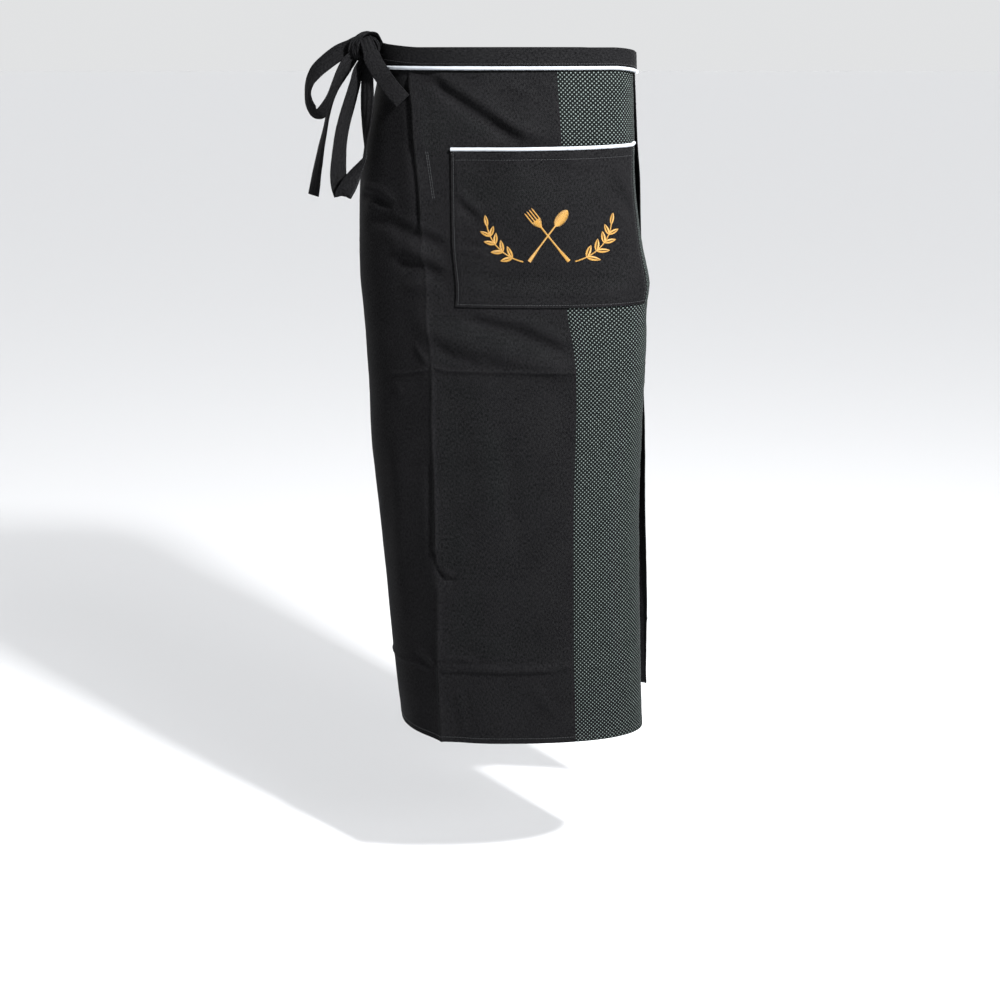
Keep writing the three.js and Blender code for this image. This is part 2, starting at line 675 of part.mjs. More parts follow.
addPiece('main_panel', mainPanel(), finish.twill);
addPiece('dotted_panel', dottedPanel(), finish.dottedTwill);
addPiece('waistband', waistband(), finish.band);
addPiece('waist_piping', waistPiping(), finish.piping);
addPiece('pocket', pocket(), finish.twill);
addPiece('pocket_piping', pocketPiping(), finish.piping);
addPiece('front_tie', frontTie(), finish.band);
addPiece('back_tie', backTie(), finish.band);
addPiece('knot', knotGeometry(0), finish.band);
addPiece('short_loop', strand(shortLoopRoute), finish.band);
addPiece('long_loop', strand(longLoopRoute), finish.band);
addPiece('hanging_tail', strand(hangingTailRoute), finish.band);
addPiece('front_tail', strand(frontTailRoute), finish.band);

export default apron;
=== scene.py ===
"""A bistro apron, worn: cloth, ties, piping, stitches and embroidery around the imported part.

The wrap is measured as in the part's source: by a distance round the body, from the front free edge
over the front, the left side and the back, and by a height. Sizes are in millimetres until a mesh is
made, and in metres from there on.
"""
import logging
import math
from collections.abc import Sequence
from dataclasses import dataclass
from enum import Enum
from functools import cached_property

import bpy
import numpy as np
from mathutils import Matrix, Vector


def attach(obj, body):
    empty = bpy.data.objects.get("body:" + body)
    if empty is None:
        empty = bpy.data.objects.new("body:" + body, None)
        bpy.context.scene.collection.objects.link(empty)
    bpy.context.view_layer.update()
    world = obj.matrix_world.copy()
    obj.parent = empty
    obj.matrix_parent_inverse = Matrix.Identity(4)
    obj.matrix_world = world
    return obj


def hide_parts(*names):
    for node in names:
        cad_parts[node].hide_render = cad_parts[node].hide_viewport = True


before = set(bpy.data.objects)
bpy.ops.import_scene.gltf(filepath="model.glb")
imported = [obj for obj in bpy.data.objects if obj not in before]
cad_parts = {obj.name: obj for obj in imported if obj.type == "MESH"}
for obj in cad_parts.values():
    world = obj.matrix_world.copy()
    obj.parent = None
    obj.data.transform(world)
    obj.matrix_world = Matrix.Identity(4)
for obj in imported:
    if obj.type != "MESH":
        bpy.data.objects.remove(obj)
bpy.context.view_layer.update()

log = logging.getLogger("apron")

MM = 0.001
BODY = "root"
UV_NAME = "cloth"
Array = np.ndarray


def smooth(value: Array | float) -> Array:
    """Returns a soft step: 0 up to 0, 1 from 1 on."""
    share = np.clip(value, 0.0, 1.0)
    return share * share * (3.0 - 2.0 * share)


def unit(vectors: Array) -> Array:
    """Returns the vectors at length 1."""
    return vectors / np.maximum(np.linalg.norm(vectors, axis=-1, keepdims=True), 1e-9)


def evenly(start: float, end: float, step: float) -> Array:
    """Returns places from start to end, at most one step apart."""
    count = max(1, math.ceil(abs(end - start) / step))
    return np.linspace(start, end, count + 1)


# Sizes, as in the part's source


@dataclass(frozen=True)
class Girth:
    """Half width and depths of the worn form at one height."""

    half_width: float
    front: float
    back: float


WAIST = Girth(155.0, 105.0, 105.0)
HIPS = Girth(180.0, 118.0, 123.0)
HEM = Girth(160.0, 121.0, 127.0)


@dataclass(frozen=True)
class ApronSizes:
    """Sizes of the apron in millimetres, the same as the part's own."""

    length: float = 867.0
    band_height: float = 20.0
    back_end_drop: float = 6.0
    front_end_drop: float = 4.5
    strip_width: float = 118.0
    pocket_width: float = 224.0
    pocket_height: float = 184.0
    pocket_drop: float = 118.0
    pocket_inset: float = 28.0
    pocket_gape: float = 9.0
    cloth: float = 1.5
    band: float = 2.4
    piping: float = 4.2
    piping_overhang: float = 3.0
    tie_width: float = 21.0
    tie: float = 1.6
    tie_root: float = 32.0
    tie_lift: float = 0.8
    tie_rise: float = 5.0
    knot_distance: float = 362.0
    knot_rise: float = 13.0
    knot_out: float = 30.0
    bow_reach: float = 80.0
    bow_drop: float = 180.0
    gap: float = 0.3

    @property
    def band_top(self) -> float:
        """Height of the band's top edge."""
        return self.band_height / 2

    @property
    def panel_top(self) -> float:
        """Height of the panels' top edge."""
        return -self.band_top - self.gap

    @property
    def panel_bottom(self) -> float:
        """Height of the hem."""
        return self.band_top - self.length

    @property
    def pocket_top(self) -> float:
        """Height of the pocket's mouth."""
        return self.band_top - self.pocket_drop

    @property
    def pocket_bottom(self) -> float:
        """Height of the pocket's bottom edge."""
        return self.pocket_top - self.pocket_height

    @property
    def pocket_end(self) -> float:
        """Distance of the pocket's left edge from the front free edge."""
        return self.pocket_inset + self.pocket_width

    @property
    def band_outer(self) -> float:
        """Offset of the band's outer face from the cloth's face."""
        return (self.band - self.cloth) / 2


SIZES = ApronSizes()

# The worn form: down and girth, then the columns named below, as in the part's section table
SECTION_COLUMNS = ("left", "edge", "edge_back", "flap", "flap_back", "front", "back", "slack")
SECTIONS = (
    (0.000, WAIST, 0.995, 0.985, -0.21, 1.012, 0.06, 1.00, 1.00, 0.15),
    (0.035, WAIST, 1.020, 0.990, -0.21, 1.022, 0.08, 1.01, 1.03, 0.15),
    (0.115, HIPS, 0.965, 0.866, -0.20, 0.906, 0.12, 0.945, 0.95, 0.15),
    (0.187, HIPS, 1.016, 0.878, -0.22, 0.939, 0.20, 0.98, 1.02, 0.16),
    (0.267, HIPS, 1.029, 0.930, -0.25, 0.961, 0.28, 1.00, 1.04, 0.20),
    (0.326, HIPS, 1.028, 0.989, -0.27, 0.978, 0.34, 1.00, 1.04, 0.22),
    (0.360, HIPS, 1.015, 0.975, -0.28, 0.985, 0.38, 1.00, 1.03, 0.20),
    (0.412, HIPS, 1.000, 0.974, -0.30, 0.997, 0.42, 1.01, 1.02, 0.12),
    (0.479, HIPS, 0.986, 0.964, -0.32, 1.011, 0.49, 1.01, 1.02, 0.06),
    (0.561, HIPS, 0.978, 0.950, -0.34, 1.033, 0.57, 1.02, 1.02, 0.04),
    (0.658, HEM, 1.050, 1.059, -0.35, 1.184, 0.64, 1.00, 1.00, 0.03),
    (0.761, HEM, 1.000, 1.072, -0.36, 1.206, 0.72, 1.00, 1.00, 0.03),
    (0.865, HEM, 0.956, 1.091, -0.38, 1.228, 0.80, 1.00, 1.00, 0.03),
    (1.000, HEM, 0.880, 1.125, -0.40, 1.244, 0.88, 1.00, 1.00, 0.03),
)

# Which size of the girth each column is a share of
COLUMN_BASE = {
    "left": lambda girth: girth.half_width,
    "edge": lambda girth: girth.half_width,
    "edge_back": lambda girth: girth.front,
    "flap": lambda girth: girth.half_width,
    "flap_back": lambda girth: girth.back,
    "front": lambda girth: girth.front,
    "back": lambda girth: girth.back,
    "slack": lambda girth: SIZES.strip_width,
}


class Profile(Enum):
    """How a crease's height falls off to its sides."""

    SOFT = "soft"
    PRESSED = "pressed"
    STEP = "step"


@dataclass(frozen=True)
class Crease:
    """A fold or crease along a path of places of the cloth, each given as (distance, height)."""

    name: str
    path: tuple[tuple[float, float], ...]
    half_width: float
    height: float
    fade: float = 0.0
    profile: Profile = Profile.SOFT

    def at(self, distance: Array, z: Array) -> Array:
        """Height of the crease at places of the cloth.

        Args:
            distance: distances from the front free edge.
            z: heights, one for each distance.

        Returns:
            Heights above the plain form, in millimetres.
        """
        path = np.array(self.path, float)
        runs = np.diff(path, axis=0)
        lengths = np.hypot(runs[:, 0], runs[:, 1])
        begun = np.concatenate([[0.0], np.cumsum(lengths)])
        shape_of = np.broadcast_shapes(np.shape(distance), np.shape(z))
        aside, share, side = np.full(shape_of, np.inf), np.zeros(shape_of), np.zeros(shape_of)
        for start, run, length, before in zip(path, runs, lengths, begun):
            off_d, off_z = distance - start[0], z - start[1]
            held = np.clip((off_d * run[0] + off_z * run[1]) / length ** 2, 0.0, 1.0)
            gap = np.hypot(off_d - run[0] * held, off_z - run[1] * held)
            near = gap < aside
            aside = np.where(near, gap, aside)
            share = np.where(near, (before + held * length) / begun[-1], share)
            side = np.where(near, (off_d * run[1] - off_z * run[0]) / length, side)
        if self.profile is Profile.SOFT:
            shape = np.exp(-((aside / self.half_width) ** 2))
        elif self.profile is Profile.PRESSED:
            shape = np.exp(-aside / self.half_width)
        else:
            # A tuck: high along one side of the path, from where it falls away slowly
            edge = smooth(side / self.half_width + 0.5)
            shape = edge * np.exp(-aside / (5 * self.half_width)) - (1 - edge) * 0.4 * np.exp(
                -aside / (3 * self.half_width))
        if self.fade:
            shape = shape * smooth(share / self.fade) * smooth((1.0 - share) / self.fade)
        return self.height * shape


@dataclass(frozen=True)
class ClothNoise:
    """Smooth, seeded ups and downs over the flat cloth."""

    seed: int
    size: int = 97

    def at(self, distance: Array, z: Array, cell: tuple[float, float]) -> Array:
        """Reads the noise.

        Args:
            distance: distances from the front free edge.
            z: heights.
            cell: width and height of one swell, in millimetres.

        Returns:
            Values from about -1 to 1.
        """
        lattice = np.random.default_rng(self.seed).uniform(-1.0, 1.0, (self.size, self.size))
        across, down = np.broadcast_arrays(distance / cell[0], z / cell[1])
        column, row = np.floor(across).astype(int), np.floor(down).astype(int)
        a, b = smooth(across - column), smooth(down - row)

        def corner(step_a: int, step_b: int) -> Array:
            """Lattice value at one corner of the cell."""
            return lattice[(row + step_b) % self.size, (column + step_a) % self.size]

        upper = corner(0, 0) * (1 - a) + corner(1, 0) * a
        lower = corner(0, 1) * (1 - a) + corner(1, 1) * a
        return upper * (1 - b) + lower * b


@dataclass(frozen=True)
class Outline:
    """One section of the worn form, from the front free edge to the back free edge."""

    x: Array
    y: Array
    along: Array
    out_x: Array
    out_y: Array
    slack: float


class WornForm:
    """The worn cloth's plain form and its main folds, read by distance and height."""

    squareness = 2.3
    quarter_steps = 160
    back_share = 0.55
    drop_share = 0.15
    band_fade = 0.05
    front_drop_share = 0.5
    # Name, from and to as shares of the wrap's width and length, half width and height in tie widths
    fold_rows = (
        ("pressed crease", (0.360, 0.04), (0.345, 1.00), 0.75, 0.14),
        ("drag valley", (0.336, 0.03), (0.206, 0.120), 0.50, -0.16),
        ("drag ridge", (0.310, 0.03), (0.178, 0.118), 0.55, 0.14),
        ("hip valley", (0.409, 0.222), (0.306, 0.265), 0.70, -0.16),
        ("hip ridge", (0.400, 0.245), (0.306, 0.290), 0.70, 0.14),
        ("lower hip valley", (0.372, 0.290), (0.306, 0.305), 0.60, -0.12),
        ("ridge under the pocket", (0.345, 0.383), (0.150, 0.440), 0.70, 0.14),
        ("valley over the ridge", (0.285, 0.365), (0.150, 0.418), 0.50, -0.10),
        ("back hang", (0.720, 0.200), (0.700, 1.00), 1.80, 0.28),
        ("back hollow", (0.620, 0.260), (0.600, 1.00), 1.80, -0.24),
    )

    def __init__(self, sizes: ApronSizes) -> None:
        """Reads the section table.

        Args:
            sizes: the apron's sizes.
        """
        self.sizes = sizes
        self.downs = np.array([row[0] for row in SECTIONS])
        self.columns = {
            name: np.array([row[2 + index] * COLUMN_BASE[name](row[1]) for row in SECTIONS])
            for index, name in enumerate(SECTION_COLUMNS)
        }
        self.store: dict[float, Outline] = {}
        self.width = float(self.outline(sizes.panel_bottom).along[-1])
        self.back_start = self.back_share * self.width

    def value(self, down: float, column: str) -> float:
        """One column of the section table, smoothly through its rows.

        Args:
            down: share of the apron's length.
            column: name of the column.

        Returns:
            The size in millimetres.
        """
        x, v = self.downs, self.columns[column]
        last = len(x) - 1
        place = min(1.0, max(0.0, down))
        index = min(last - 1, max(0, int(np.searchsorted(x, place, side="left")) - 1))
        length = x[index + 1] - x[index]
        share = (place - x[index]) / length
        low, high = max(0, index - 1), min(last, index + 2)
        start = (v[index + 1] - v[low]) / (x[index + 1] - x[low])
        end = (v[high] - v[index]) / (x[high] - x[index])
        s2, s3 = share * share, share ** 3
        return float(
            (2 * s3 - 3 * s2 + 1) * v[index] + (s3 - 2 * s2 + share) * length * start
            + (3 * s2 - 2 * s3) * v[index + 1] + (s3 - s2) * length * end
        )

    def outline(self, z: float) -> Outline:
        """Section at one height: four rounded quarters.

        Args:
            z: height in millimetres.

        Returns:
            The section's outline.
        """
        down = min(1.0, max(0.0, (self.sizes.band_top - z) / self.sizes.length))
        key = round(down, 7)
        if key not in self.store:
            size = {name: self.value(down, name) for name in SECTION_COLUMNS}
            turn = np.linspace(0.0, math.pi / 2, self.quarter_steps + 1)
            side = np.clip(np.cos(turn), 0.0, 1.0) ** (2 / self.squareness)
            deep = np.sin(turn) ** (2 / self.squareness)
            side[-1] = 0.0
            front, back = size["front"], size["back"]
            quarters = (
                (size["edge"] * side, size["edge_back"] - (front + size["edge_back"]) * deep),
                (-size["left"] * side[::-1], -front * deep[::-1]),
                (-size["left"] * side, back * deep),
                (size["flap"] * side[::-1], size["flap_back"] + (back - size["flap_back"]) * deep[::-1]),
            )
            x = np.concatenate([q[0][min(1, k):] for k, q in enumerate(quarters)])
            y = np.concatenate([q[1][min(1, k):] for k, q in enumerate(quarters)])
            along = np.concatenate([[0.0], np.cumsum(np.hypot(np.diff(x), np.diff(y)))])
            run_x, run_y = np.gradient(x, along), np.gradient(y, along)
            size_of = np.hypot(run_x, run_y)
            self.store[key] = Outline(x, y, along, -run_y / size_of, run_x / size_of, size["slack"])
        return self.store[key]

    def end_drop(self, distance: Array, z: Array) -> Array:
        """How far the wrap sinks towards its back end and, over the pocket, its front end.

        Args:
            distance: distances from the front free edge.
            z: heights.

        Returns:
            Drops in millimetres.
        """
        sizes = self.sizes
        to_back = smooth((distance / self.width - 1 + self.drop_share) / self.drop_share)
        to_front = smooth(1 - distance / (sizes.strip_width * self.front_drop_share))
        high = smooth((z - sizes.pocket_top) / (sizes.panel_top - sizes.pocket_top))
        return sizes.back_end_drop * to_back + sizes.front_end_drop * to_front * high

    def plain(self, distance: Array, z: Array) -> tuple[Array, Array]:
        """Points of the plain form.

        Args:
            distance: distances from the front free edge.
            z: heights before the drop towards the back end.

        Returns:
            The points and their outward directions.
        """
        d, h = np.broadcast_arrays(np.asarray(distance, float), np.asarray(z, float))
        points, outs = np.zeros(d.shape + (3,)), np.zeros(d.shape + (3,))
        share = smooth((d - self.back_start) / (self.width - self.back_start))
        levels = np.round(h, 3)
        for level in np.unique(levels):
            here = levels == level
            line = self.outline(float(level))
            slack = line.slack * smooth(d[here] / self.sizes.strip_width) * (1 - share[here])
            target = d[here] + slack + (line.along[-1] - self.width) * share[here]
            points[here, 0] = np.interp(target, line.along, line.x)
            points[here, 1] = np.interp(target, line.along, line.y)
            outs[here, 0] = np.interp(target, line.along, line.out_x)
            outs[here, 1] = np.interp(target, line.along, line.out_y)
        points[..., 2] = h - self.end_drop(d, h)
        return points, unit(outs)

    @cached_property
    def folds(self) -> tuple[Crease, ...]:
        """The main folds, which the solids have too in about the same places, in millimetres."""
        sizes = self.sizes

        def place(share: tuple[float, float]) -> tuple[float, float]:
            """Turns shares of the wrap into a distance and a height."""
            return share[0] * self.width, sizes.band_top - share[1] * sizes.length

        return tuple(
            Crease(name, (place(start), place(end)), width * sizes.tie_width, height * sizes.tie_width)
            for name, start, end, width, height in self.fold_rows
        )

    def pocket_calm(self, distance: Array, z: Array) -> Array:
        """0 behind the pocket, which keeps the cloth flat, and 1 well away from it."""
        sizes = self.sizes
        aside = np.maximum(distance - sizes.pocket_end, 0.0)
        above = np.maximum(z - sizes.pocket_top, 0.0)
        below = np.maximum(sizes.pocket_bottom - z, 0.0)
        return smooth(np.sqrt(aside ** 2 + above ** 2 + below ** 2) / sizes.tie_width)

    def fold_sum(self, distance: Array, z: Array) -> Array:
        """Height of all main folds together, in millimetres."""
        sizes = self.sizes
        total = sum(fold.at(distance, z) for fold in self.folds)
        down = (sizes.band_top - z) / sizes.length
        fade = smooth((down - sizes.band_top / sizes.length) / self.band_fade)
        return total * fade * self.pocket_calm(distance, z)

    def cloth(self, distance: Array, z: Array, offset: Array | float = 0.0) -> Array:
        """Points of the worn cloth at an offset out of its face.

        Args:
            distance: distances from the front free edge.
            z: heights.
            offset: how far out of the face, in millimetres.

        Returns:
            Points in millimetres.
        """
        points, outs = self.plain(distance, z)
        stand = offset + self.fold_sum(distance, z)
        return points + outs * np.broadcast_to(stand, points.shape[:-1])[..., None]

    def outs(self, distance: Array, z: Array) -> Array:
        """Outward directions of the worn cloth."""
        return self.plain(distance, z)[1]


# Meshes


def place_object(name: str, data: bpy.types.ID) -> bpy.types.Object:
    """Puts a mesh, light or camera into the scene, at the origin.

    Args:
        name: the object's name.
        data: what it shows.

    Returns:
        The new object.
    """
    thing = bpy.data.objects.new(name, data)
    bpy.context.scene.collection.objects.link(thing)
    return thing


def add_mesh(name: str, points: Array, faces: Sequence[Sequence[int]], uv: Array,
             material: bpy.types.Material) -> bpy.types.Object:
    """Makes an object at the origin from points in millimetres.

    Args:
        name: the object's name.
        points: vertices, in millimetres.
        faces: corner indices of each face.
        uv: one pair for each vertex, in metres of cloth.
        material: its finish.

    Returns:
        The new object, with its faces turned outwards and shaded smooth.
    """
    mesh = bpy.data.meshes.new(name)
    mesh.from_pydata((points * MM).tolist(), [], [list(face) for face in faces])
    mesh.update()
    mesh.calc_loop_triangles()
    corners = np.empty(len(mesh.loop_triangles) * 3, np.int32)
    mesh.loop_triangles.foreach_get("vertices", corners)
    a, b, c = points[corners.reshape(-1, 3)].transpose(1, 0, 2)
    if np.einsum("ij,ij->i", a, np.cross(b, c)).sum() < 0:
        mesh.flip_normals()
    layer = mesh.uv_layers.new(name=UV_NAME)
    loops = np.empty(len(mesh.loops), np.int32)
    mesh.loops.foreach_get("vertex_index", loops)
    layer.data.foreach_set("uv", uv[loops].astype(np.float32).ravel())
    mesh.shade_smooth()
    mesh.materials.append(material)
    return place_object(name, mesh)


def wall(name: str, outer: Array, inner: Array, uv: Array,
         material: bpy.types.Material) -> bpy.types.Object:
    """Makes a closed sheet from two faces on one grid, with a rounded rim.

    Args:
        name: the object's name.
        outer: points of the outer face, rows by columns.
        inner: points of the inner face on the same grid.
        uv: cloth coordinates of the grid, in metres.
        material: its finish.

    Returns:
        The sheet.
    """
    rows, columns = outer.shape[:2]
    count = rows * columns
    grid = np.arange(count).reshape(rows, columns)
    quads = np.stack([grid[:-1, :-1], grid[:-1, 1:], grid[1:, 1:], grid[1:, :-1]], -1).reshape(-1, 4)
    rim = np.concatenate([grid[0, :-1], grid[:-1, -1], grid[-1, :0:-1], grid[:0:-1, 0]])
    inside = np.concatenate([grid[1, :-1], grid[:-1, -2], grid[-2, :0:-1], grid[:0:-1, 1]])
    flat_outer, flat_inner = outer.reshape(-1, 3), inner.reshape(-1, 3)
    middle = (flat_outer[rim] + flat_inner[rim]) / 2
    half = np.linalg.norm(flat_outer[rim] - flat_inner[rim], axis=1, keepdims=True) / 2
    away = unit(middle - (flat_outer[inside] + flat_inner[inside]) / 2)
    edge = middle + away * half * 0.7
    points = np.concatenate([flat_outer, flat_inner, edge])
    flat_uv = uv.reshape(-1, 2)
    uvs = np.concatenate([flat_uv, flat_uv, flat_uv[rim]])
    ring = 2 * count + np.arange(len(rim))
    after, ring_after = np.roll(rim, -1), np.roll(ring, -1)
    faces = np.concatenate([
        quads,
        quads[:, ::-1] + count,
        np.stack([rim, ring, ring_after, after], -1),
        np.stack([ring, rim + count, after + count, ring_after], -1),
    ])
    return add_mesh(name, points, faces.tolist(), uvs, material)


def sweep(name: str, rings: Array, uv: Array, material: bpy.types.Material) -> bpy.types.Object:
    """Makes a closed solid through rings of points, all of one count.

    Args:
        name: the object's name.
        rings: points, ring by ring.
        uv: cloth coordinates, ring by ring, in metres.
        material: its finish.

    Returns:
        The solid.
    """
    count, sides = rings.shape[:2]
    grid = np.arange(count * sides).reshape(count, sides)
    after = np.roll(grid, -1, axis=1)
    quads = np.stack([grid[:-1], after[:-1], after[1:], grid[1:]], -1).reshape(-1, 4).tolist()
    quads += [grid[0, ::-1].tolist(), grid[-1].tolist()]
    return add_mesh(name, rings.reshape(-1, 3), quads, uv.reshape(-1, 2), material)


def join(name: str, parts: Sequence[bpy.types.Object]) -> bpy.types.Object:
    """Joins parts into one mesh.

    Args:
        name: name of the whole.
        parts: objects at the origin.

    Returns:
        The first part, which now holds all of them.
    """
    whole = parts[0]
    with bpy.context.temp_override(
            active_object=whole, selected_objects=list(parts), selected_editable_objects=list(parts)):
        bpy.ops.object.join()
    whole.name = whole.data.name = name
    return whole


def finish_piece(piece: bpy.types.Object, nodes: Sequence[str] = ()) -> bpy.types.Object:
    """Puts a piece on the body, hides the solids that it replaces, and logs its count of faces.

    Args:
        piece: the finished piece.
        nodes: the solids that it replaces.

    Returns:
        The same piece.
    """
    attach(piece, BODY)
    if nodes:
        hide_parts(*nodes)
    log.info("%s: %d faces", piece.name, len(piece.data.polygons))
    return piece


# Finishes


def linear(colour: str) -> tuple[float, float, float, float]:
    """Turns an sRGB hex colour into linear values with full alpha.

    Args:
        colour: a colour such as "#20202a".

    Returns:
        Red, green, blue and alpha.
    """
    parts = [int(colour[place:place + 2], 16) / 255 for place in (1, 3, 5)]
    values = [part / 12.92 if part <= 0.04045 else ((part + 0.055) / 1.055) ** 2.4 for part in parts]
    return values[0], values[1], values[2], 1.0


def add_node(tree: bpy.types.NodeTree, kind: str, settings: dict | None = None,
             inputs: dict | None = None) -> bpy.types.Node:
    """Adds a node with its settings, values and links.

    Args:
        tree: the node tree.
        kind: the node's type name.
        settings: properties to set on the node.
        inputs: by socket name or number, a value or the output socket to link.

    Returns:
        The new node.
    """
    node = tree.nodes.new(kind)
    for key, value in (settings or {}).items():
        setattr(node, key, value)
    for key, value in (inputs or {}).items():
        socket = node.inputs[key]
        if isinstance(value, bpy.types.NodeSocket):
            tree.links.new(value, socket)
        else:
            socket.default_value = value
    return node


def calculate(tree: bpy.types.NodeTree, operation: str, *values: float | bpy.types.NodeSocket,
              clamp: bool = False) -> bpy.types.NodeSocket:
    """Adds a math node.

    Args:
        tree: the node tree.
        operation: what it does.
        values: numbers or output sockets, in the order of its inputs.
        clamp: whether the result stays between 0 and 1.

    Returns:
        Its result.
    """
    settings = {"operation": operation, "use_clamp": clamp}
    return add_node(tree, "ShaderNodeMath", settings, dict(enumerate(values))).outputs[0]


def new_material(name: str) -> tuple[bpy.types.Material, bpy.types.NodeTree, bpy.types.Node]:
    """Starts a node material.

    Args:
        name: the material's name.

    Returns:
        The material, its tree and its shader.
    """
    material = bpy.data.materials.new(name)
    material.use_nodes = True
    tree = material.node_tree
    tree.nodes.clear()
    shader = add_node(tree, "ShaderNodeBsdfPrincipled")
    add_node(tree, "ShaderNodeOutputMaterial", inputs={"Surface": shader.outputs[0]})
    return material, tree, shader


@dataclass(frozen=True)
class TwillFinish:
    """Dyed cotton twill, woven in fine diagonal ribs: matt, with a faint sheen at grazing light.

    The ribs of the real cloth stand about 0.8 mm apart, too fine for the render, so they are drawn
    at 1.7 mm. Single yarns run thicker and thinner. They are drawn as pale and dark streaks, some
    3.6 mm long and 0.9 mm wide, along both directions of the weave.
    """

    name: str
    dark: str
    light: str
    sheen: float = 0.007
    rib: float = 1.7
    slub_long: float = 3.6
    slub_wide: float = 0.9
    relief: float = 0.14
    rib_share: float = 0.12
    yarn_range: tuple[float, float] = (0.72, 1.28)

    def coordinates(self, tree: bpy.types.NodeTree) -> tuple[bpy.types.NodeSocket, bpy.types.Node]:
        """Cloth coordinates in metres.

        Args:
            tree: the material's tree.

        Returns:
            The vector and the node that splits it.
        """
        uv = add_node(tree, "ShaderNodeUVMap", {"uv_map": UV_NAME}).outputs["UV"]
        return uv, add_node(tree, "ShaderNodeSeparateXYZ", inputs={0: uv})

    def weave(self, tree: bpy.types.NodeTree) -> bpy.types.NodeSocket:
        """Height of ribs and yarns, from 0 to 1."""
        uv, parts = self.coordinates(tree)
        slubs = []
        cross = self.slub_long * 0.7
        for long_way, wide_way in ((self.slub_wide, self.slub_long), (cross, self.slub_wide)):
            scaled = add_node(tree, "ShaderNodeMapping", inputs={
                "Vector": uv, "Scale": (1 / (long_way * MM), 1 / (wide_way * MM), 1.0)})
            slubs.append(add_node(tree, "ShaderNodeTexNoise", {"noise_dimensions": "2D"}, {
                "Vector": scaled.outputs[0], "Scale": 1.0, "Detail": 1.0}).outputs["Fac"])
        both = calculate(tree, "ADD", *slubs)
        diagonal = calculate(tree, "ADD", parts.outputs["X"], parts.outputs["Y"])
        waves = 2 * math.pi / (self.rib * MM * math.sqrt(2))
        rib = calculate(tree, "SINE", calculate(tree, "MULTIPLY_ADD", diagonal, waves, both))
        ribs = calculate(tree, "MULTIPLY_ADD", rib, self.rib_share, both)
        low, high = self.yarn_range
        return add_node(tree, "ShaderNodeMapRange", inputs={
            "Value": ribs, "From Min": low, "From Max": high}).outputs[0]

    def ground(self, tree: bpy.types.NodeTree, weave: bpy.types.NodeSocket) -> bpy.types.NodeSocket:
        """Colour of the dyed cloth: yarns and broad uneven dye.

        Args:
            tree: the material's tree.
            weave: the height of the weave.

        Returns:
            The colour.
        """
        uv = self.coordinates(tree)[0]
        patches = add_node(tree, "ShaderNodeTexNoise", {"noise_dimensions": "2D"}, {
            "Vector": uv, "Scale": 22.0, "Detail": 3.0, "Roughness": 0.6})
        share = calculate(tree, "MULTIPLY_ADD", patches.outputs["Fac"], 0.35, -0.17)
        tone = calculate(tree, "ADD", weave, share, clamp=True)
        return add_node(tree, "ShaderNodeMix", {"data_type": "RGBA"}, {
            "Factor": tone, 6: linear(self.dark), 7: linear(self.light)}).outputs[2]

    def surface(self, tree: bpy.types.NodeTree, shader: bpy.types.Node,
                weave: bpy.types.NodeSocket, colour: bpy.types.NodeSocket) -> None:
        """Links colour and relief, and sets the cloth's gloss and sheen.

        Args:
            tree: the material's tree.
            shader: its shader.
            weave: the height of the weave.
            colour: the cloth's colour.
        """
        bump = add_node(tree, "ShaderNodeBump", inputs={
            "Height": weave, "Strength": 0.6, "Distance": self.relief * MM})
        tree.links.new(bump.outputs[0], shader.inputs["Normal"])
        tree.links.new(colour, shader.inputs["Base Color"])
        shader.inputs["Roughness"].default_value = 0.86
        shader.inputs["Specular IOR Level"].default_value = 0.045
        shader.inputs["Sheen Weight"].default_value = self.sheen
        shader.inputs["Sheen Roughness"].default_value = 0.45
        shader.inputs["Sheen Tint"].default_value = linear("#c8ccd2")

    def build(self) -> bpy.types.Material:
        """Makes the material."""
        material, tree, shader = new_material(self.name)
        weave = self.weave(tree)
        self.surface(tree, shader, weave, self.ground(tree, weave))
        return material


@dataclass(frozen=True)
class DottedTwillFinish(TwillFinish):
    """The same twill with small pale dots woven in: rows of dots, each row set half a step aside.

    A dot is about 1.5 mm wide and 5 mm from the next one in its row, with soft thready edges.
    """

    dot: str = "#66706d"
    step: float = 5.0
    dot_width: float = 1.32

    def build(self) -> bpy.types.Material:
        """Makes the material."""
        material, tree, shader = new_material(self.name)
        weave = self.weave(tree)
        uv = self.coordinates(tree)[0]
        # A square lattice turned by 45 degrees: its cells are smaller than the step by the root of 2
        cell = self.step / math.sqrt(2)
        turned = add_node(tree, "ShaderNodeMapping", inputs={
            "Vector": uv, "Rotation": (0.0, 0.0, math.pi / 4),
            "Scale": (1 / (cell * MM), 1 / (cell * MM), 1.0)})
        dots = add_node(tree, "ShaderNodeTexVoronoi", {"voronoi_dimensions": "2D"}, {
            "Vector": turned.outputs[0], "Scale": 1.0, "Randomness": 0.0})
        ragged = calculate(tree, "MULTIPLY_ADD", weave, -0.10, dots.outputs["Distance"])
        radius = self.dot_width / 2 / cell
        mask = add_node(tree, "ShaderNodeMapRange", inputs={
            "Value": ragged, "From Min": radius - 0.10, "From Max": radius + 0.03,
            "To Min": 1.0, "To Max": 0.0})
        colour = add_node(tree, "ShaderNodeMix", {"data_type": "RGBA"}, {
            "Factor": mask.outputs[0], 6: self.ground(tree, weave), 7: linear(self.dot)})
        raised = calculate(tree, "MULTIPLY_ADD", mask.outputs[0], 0.6, weave)
        self.surface(tree, shader, raised, colour.outputs[2])
        return material


